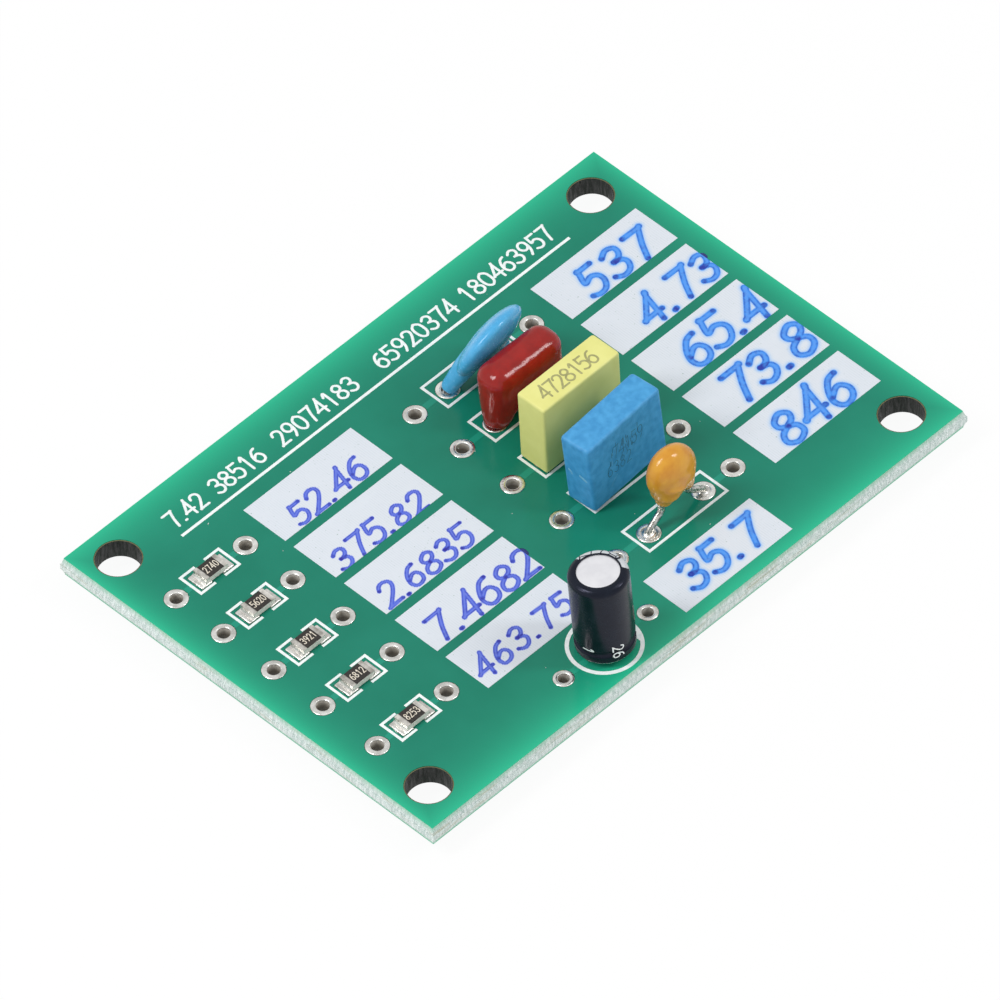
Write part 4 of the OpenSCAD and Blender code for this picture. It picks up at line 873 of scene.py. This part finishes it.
# way inward, height and radius of both ends of each stem of a skirt, in millimetres
SKIRT = [((0, 1.64, 0.82), (0.26, 2.2, 1.06)), ((0.26, 2.2, 1.06), (0.52, 3.1, 1.28)),
         ((0.52, 3.1, 1.24), (0.62, 4.6, 1.34))]
for x, inward in zip(LEAD_X, (1, -1)):
    for stem in SKIRT:
        ends = [(x + inward * way * MM, ROWS[1], up * MM) for way, up, _ in stem]
        red_parts.append(tapered(*ends, *[radius * MM for _, _, radius in stem]))
red = dipped(joined("film_capacitor_skin", red_parts), 0.08 * MM, 20, 0.03 * MM)
given(red, red_dip, "red_dip", "film_capacitor_coating")

# Multilayer capacitor
# A small ceramic block between two bent leads is dipped in orange epoxy. The drop is a tilted
# egg that narrows onto each lead.
DROP_Y = ROWS[4]
DROP_MIDDLE = (5.5 * MM, DROP_Y, 5.88 * MM)
DROP_SIZE = (1.98 * MM, 1.25 * MM, 2.17 * MM)
DROP_TILT = math.radians(-16)
# low and high end of each leg as x and z, and its radius at both, in millimetres
DROP_LEGS = [((4.58, 3.38), (5.15, 5.3), 0.46, 1.38), ((6.94, 3.4), (6.15, 5.3), 0.45, 1.2)]
# x and z of each bulge of the near flank, and its three radii
DROP_BULGES = [((5.15, 5.3), (1.42, 1.25, 1.4)), ((4.95, 4.75), (1.13, 1.12, 1.1))]
# The orange skin is smoother and glossier than the blue one, with hardly any relief
orange_dip = mottled("orange_dip", "#d28d25", "#dea02f", 0.9 * MM, (0.16, 0.24), 0.004 * MM,
                     IOR=1.5)
bpy.ops.object.select_all(action="DESELECT")
bpy.ops.mesh.primitive_uv_sphere_add(segments=64, ring_count=32, radius=1, location=DROP_MIDDLE,
                                     rotation=(0, DROP_TILT, 0), scale=DROP_SIZE)
drop_parts = [bpy.context.object, copied("multilayer_capacitor_chip", "drop_core"),
              copied("multilayer_capacitor_end_metal", "drop_ends")]
for low, high, low_r, high_r in DROP_LEGS:
    drop_parts.append(tapered((low[0] * MM, DROP_Y, low[1] * MM),
                              (high[0] * MM, DROP_Y, high[1] * MM), low_r * MM, high_r * MM))
for (x, z), radii in DROP_BULGES:
    drop_parts.append(ball((x * MM, DROP_Y, z * MM), [radius * MM for radius in radii]))
drop = dipped(joined("multilayer_capacitor_skin", drop_parts), 0.07 * MM, 45, 0.03 * MM)
given(drop, orange_dip, "orange_dip", "multilayer_capacitor_coating")

# Parts inside the capacitors
# None of these shows from outside. The film elements are wound metallised film with sprayed
# zinc ends, potted in epoxy, and the small drop holds a layered ceramic block.
INNER = {
    "film_capacitor_winding": ("metallised_film_end", "#9a9a9c", "#d2d2d4", (0.25, 0.4), {}),
    "film_capacitor_end_spray": ("sprayed_zinc", "#6f7072", "#a2a3a5", (0.5, 0.7),
                                 {"Metallic": 1}),
    "yellow_capacitor_potting": ("cream_potting_epoxy", "#b5ae78", "#d2cc98", (0.3, 0.5), {}),
    "blue_capacitor_potting": ("blue_potting_epoxy", "#4a7ba3", "#6696bd", (0.3, 0.5), {}),
    "multilayer_capacitor_chip": ("layered_ceramic", "#8d7a60", "#b5a287", (0.5, 0.7), {}),
    "multilayer_capacitor_end_metal": ("silver_end_metal", "#aaa8a2", "#dddbd4", (0.3, 0.5),
                                       {"Metallic": 1}),
    "electrolytic_capacitor_bung": ("black_bung_rubber", "#1b1a18", "#302e2b", (0.5, 0.75), {}),
    "electrolytic_capacitor_winding": ("wound_foil_and_paper", "#a89f8b", "#cbc3b0",
                                       (0.4, 0.6), {}),
}
inner_finishes = {}
for node, (name, dark, light, shine, shader) in INNER.items():
    inner_finishes[node] = mottled(name, dark, light, 0.25 * MM, shine, 0.008 * MM, **shader)
    painted(node, inner_finishes[node])
for colour in ("yellow", "blue"):
    for part in ("winding", "end_spray"):
        painted(f"{colour}_capacitor_{part}", inner_finishes[f"film_capacitor_{part}"])

# Boxed capacitors
# Two film elements sit in moulded plastic boxes with softly rounded edges. The yellow one has
# faint grey digits on top. The blue one's leaning side is engraved, with painted highlights
# on some of its scores, and its end has pale scuffs.
YELLOW_TOP = 7.87 * MM
# Moulded polyester: the yellow box is smooth and satin, the blue one frosted and cloudier
yellow_box = mottled("yellow_case", "#e2e085", "#e9e790", 1.5 * MM, (0.38, 0.5), 0.004 * MM,
                     IOR=1.5)
blue_box = mottled("blue_case", "#3790ca", "#4aa3db", 0.5 * MM, (0.42, 0.58), 0.012 * MM, IOR=1.5)
for colour, smooth, finish in (("yellow", 8, yellow_box), ("blue", 12, blue_box)):
    node = f"{colour}_capacitor_case"
    box = dipped(copied(node, f"{colour}_box_moulding"), 0.07 * MM, smooth)
    given(box, finish, f"{colour}_case", node)
# The yellow box's digits are nearly of its own tone, so that they hardly show
grey_ink = mottled("faint_grey_ink", "#9b9965", "#b0ae76", 0.25 * MM, (0.5, 0.6), 0.002 * MM)
strokes = row_of_digits("4728156", (3.2 * MM, -0.55 * MM), 1.2 * MM, 0.72 * MM, wide=0.86)
settled(ink_lines("yellow_case_marking", strokes, 0.15 * MM, 0.005 * MM),
        Matrix.Translation((0, 0, YELLOW_TOP)), grey_ink, "white_ink")
# Engraving leaves dark dull marks on the blue box's leaning side. Pale strokes there are painted
# highlights on lit edges of its scores, beside one pale scratch, and wear leaves pale scuffs on
# its end
engraved = mottled("engraved_marks", "#17455f", "#2c6480", 0.35 * MM, (0.4, 0.6), 0.004 * MM)
scuffs_and_highlights = mottled("scuffs_and_highlights_plastic", "#5aa5d2", "#8cc6e4", 0.2 * MM, (0.5, 0.7), 0.004 * MM)


def facing(place, across, up):
    """A matrix that stands a flat mark on a face, by its directions across and up."""
    across = Vector(across).normalized()
    up = (Vector(up) - Vector(up).dot(across) * across).normalized()
    turned = Matrix((across, up, across.cross(up))).transposed().to_4x4()
    return Matrix.Translation(place) @ turned


BLUE_SIDE = facing((4.32 * MM, -5.6105 * MM, 5.71 * MM), (0.9987, 0.0516, 0), (0, 0.0403, 1))
BLUE_END = facing((1.8 * MM, -4.84 * MM, 5.59 * MM), (0.053, -0.9986, 0), (-0.0363, 0, 1))
rows = row_of_digits("74159", (-0.2 * MM, -0.62 * MM), 1.12 * MM, 0.6 * MM, wide=0.7, seed=5)
rows += row_of_digits("6382", (-0.85 * MM, -1.85 * MM), 1.0 * MM, 0.62 * MM, wide=0.7, seed=6)
# The side is scored all over by near upright strokes: some cut dark, and some with a painted
# highlight for a lit edge
SCORES = 34
dice = random.Random(8)
scores = []
for _ in range(SCORES):
    x, y = dice.uniform(-0.6, 2.3), dice.uniform(-1.5, 0.5)
    y += 0.1 * x
    length, drift = dice.uniform(0.25, 0.7), dice.uniform(-0.05, 0.09)
    scores.append([(x * MM, y * MM), ((x + drift / 2) * MM, (y + length / 2) * MM),
                   ((x + drift) * MM, (y + length) * MM)])
settled(ink_lines("blue_case_marking", rows + scores[::2], 0.09 * MM, 0.003 * MM),
        BLUE_SIDE, engraved, "blue_case")
# Painted highlights: pale strokes for the lit edges of some scores, and one pale scratch
lit = scores[1::3]
lit.append([(-0.62 * MM, -2.82 * MM), (-0.3 * MM, -2.4 * MM), (0.08 * MM, -2.1 * MM)])
settled(ink_lines("blue_case_highlights_and_scratch", lit, 0.05 * MM, 0.003 * MM), BLUE_SIDE, scuffs_and_highlights,
        "blue_case")
scuffs = [[(-1.02 * MM, -0.88 * MM), (-0.9 * MM, -1.0 * MM), (-0.8 * MM, -1.14 * MM)],
          [(-0.05 * MM, -0.9 * MM), (0.2 * MM, -1.0 * MM), (0.46 * MM, -1.1 * MM)]]
settled(ink_lines("blue_case_scuffs", scuffs, 0.2 * MM, 0.004 * MM), BLUE_END, scuffs_and_highlights,
        "blue_case")

# Electrolytic capacitor
# A wound element sits in a drawn aluminium can closed by a rubber bung. The shrunk black
# sleeve folds over the can's top, and its pale stripe of dashes faces away from the camera.
CAN_AXIS = (-5.67 * MM, -14.405 * MM)
CAN_BASE = 1.9 * MM
CAN_LEAN = math.radians(1.9)
CAN_LEAN_TO = math.radians(135)
SLEEVE_R = 2.06 * MM
BARE_R = 1.45 * MM
STRIPE_MIDDLE = math.radians(28)
STRIPE_HALF = math.radians(66)
DASH_PITCH = 2.3 * MM
CREASED_FROM = 6.75 * MM
# The can's bare top is an even soft silver
drawn = mottled("drawn_aluminium", "#e6e6ea", "#eeeef1", 1.2 * MM, (0.48, 0.54), 0.0004 * MM,
                Metallic=1)
painted("electrolytic_capacitor_can", drawn)
# Shrunk PVC film, smooth and glossy, nearly black with a blue sheen, and printed pale behind
shrunk, place, axis = started("black_sleeve_with_stripe")
high = add(shrunk, "Math", {1: CAN_BASE}, {0: axis[2]}, operation="SUBTRACT")
out = []
for side, towards in ((0, math.cos(CAN_LEAN_TO)), (1, math.sin(CAN_LEAN_TO))):
    moved = add(shrunk, "Math", {1: -towards * math.tan(CAN_LEAN), 2: -CAN_AXIS[side]}, {0: high},
                operation="MULTIPLY_ADD")
    out.append(add(shrunk, "Math", links={0: axis[side], 1: moved}))
round_at = add(shrunk, "Math", links={0: out[1], 1: out[0]}, operation="ARCTAN2")
aside = from_middle(shrunk, round_at, STRIPE_MIDDLE)
stripe = add(shrunk, "MapRange", {"From Min": STRIPE_HALF + 0.03, "From Max": STRIPE_HALF},
             {"Value": aside})
step = add(shrunk, "Math", {1: DASH_PITCH}, {0: high}, operation="PINGPONG")
dash = add(shrunk, "MapRange", {"From Min": DASH_PITCH * 0.12, "From Max": DASH_PITCH * 0.1},
           {"Value": step})
narrow = add(shrunk, "MapRange", {"From Min": 0.42, "From Max": 0.38}, {"Value": aside})
dash = add(shrunk, "Math", links={0: dash, 1: narrow}, operation="MULTIPLY")
pale = add(shrunk, "Math", links={0: stripe, 1: dash}, operation="SUBTRACT", use_clamp=True)
lip = add(shrunk, "MapRange", {"From Min": BARE_R + 0.1 * MM, "From Max": BARE_R + 0.14 * MM},
          {"Value": reach_of(shrunk, *out)})
pale = add(shrunk, "Math", links={0: pale, 1: lip}, operation="MULTIPLY")
# The sleeve's clear edge is crinkled where it turns in over the top, and dark lines are painted
# along its creases in the pale stripe, as painted shade
creases = add(shrunk, "TexVoronoi", {"Scale": 1.1 / MM}, {"Vector": place},
              feature="DISTANCE_TO_EDGE")
crease_shade = add(shrunk, "MapRange", {"From Min": 0.06, "From Max": 0.02},
             {"Value": creases.outputs["Distance"]})
turned_in = add(shrunk, "MapRange",
                {"From Min": CREASED_FROM, "From Max": CREASED_FROM + 0.1 * MM}, {"Value": high})
crease_shade = add(shrunk, "Math", links={0: crease_shade, 1: turned_in}, operation="MULTIPLY")
pale = add(shrunk, "Math", links={0: pale, 1: crease_shade}, operation="SUBTRACT", use_clamp=True)
patch = spots(shrunk, place, 0.9 * MM)
dark = add(shrunk, "Mix", {6: linear("#0d131b"), 7: linear("#141b24")}, {0: patch})
light = add(shrunk, "Mix", {6: linear("#c4c9cd"), 7: linear("#d2d6d9")}, {0: patch})
tone = add(shrunk, "Mix", links={0: pale, 6: dark, 7: light})
surfaced(shrunk, tone, patch, (0.22, 0.3), (patch, 0.4, 0.004 * MM),
         **{"IOR": 1.5, "Specular IOR Level": 0.24, "Specular Tint": linear("#dcdcff")})
painted("electrolytic_capacitor_sleeve", shrunk)
lean = (Matrix.Rotation(CAN_LEAN_TO, 4, "Z") @ Matrix.Rotation(CAN_LEAN, 4, "Y")
        @ Matrix.Rotation(-CAN_LEAN_TO, 4, "Z"))
can_place = Matrix.Translation((*CAN_AXIS, CAN_BASE)) @ lean
# digits, azimuth and height of their middle. They read down the can
for number, (text, azimuth, up) in enumerate((("26", -108, 1.05), ("1", -166, 0.95)), start=1):
    strokes = row_of_digits(text, (-0.6 * MM, -0.38 * MM), 0.76 * MM, 0.6 * MM, wide=0.9)
    strokes = [[(y, -x) for x, y in stroke] for stroke in strokes]
    mark = ink_lines(f"sleeve_digits_{number}", strokes, 0.1 * MM, 0.006 * MM)
    for vertex in mark.data.vertices:
        angle = vertex.co.x / SLEEVE_R
        radius = SLEEVE_R + vertex.co.z
        vertex.co.x = radius * math.sin(angle)
        vertex.co.z = radius * math.cos(angle) - SLEEVE_R
    turn = math.radians(azimuth)
    spot = facing((SLEEVE_R * math.cos(turn), SLEEVE_R * math.sin(turn), up * MM),
                  (-math.sin(turn), math.cos(turn), 0), (0, 0, 1))
    settled(mark, can_place @ spot, ink, "white_ink")

# Dust
# A few pale specks of dust and lint lie on the lacquer, as on any board that has been handled.
DUST_COUNT = 26
lint = mottled("pale_dust", "#b9c4bd", "#e6ebe6", 0.05 * MM, (0.7, 0.9), 0.004 * MM)
dice = random.Random(11)
specks = []
for _ in range(DUST_COUNT):
    size = dice.uniform(0.018, 0.045) * MM
    bpy.ops.object.select_all(action="DESELECT")
    bpy.ops.mesh.primitive_ico_sphere_add(
        subdivisions=1, radius=1, rotation=(0, 0, dice.uniform(0, math.pi)),
        location=(dice.uniform(-23, 23) * MM, dice.uniform(-15, 15) * MM, BOARD_T + 0.3 * size),
        scale=(size * dice.uniform(1, 2.2), size, 0.6 * size))
    specks.append(bpy.context.object)
dust = joined("dust_specks", specks)
painted(dust, lint)
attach(dust, "root")
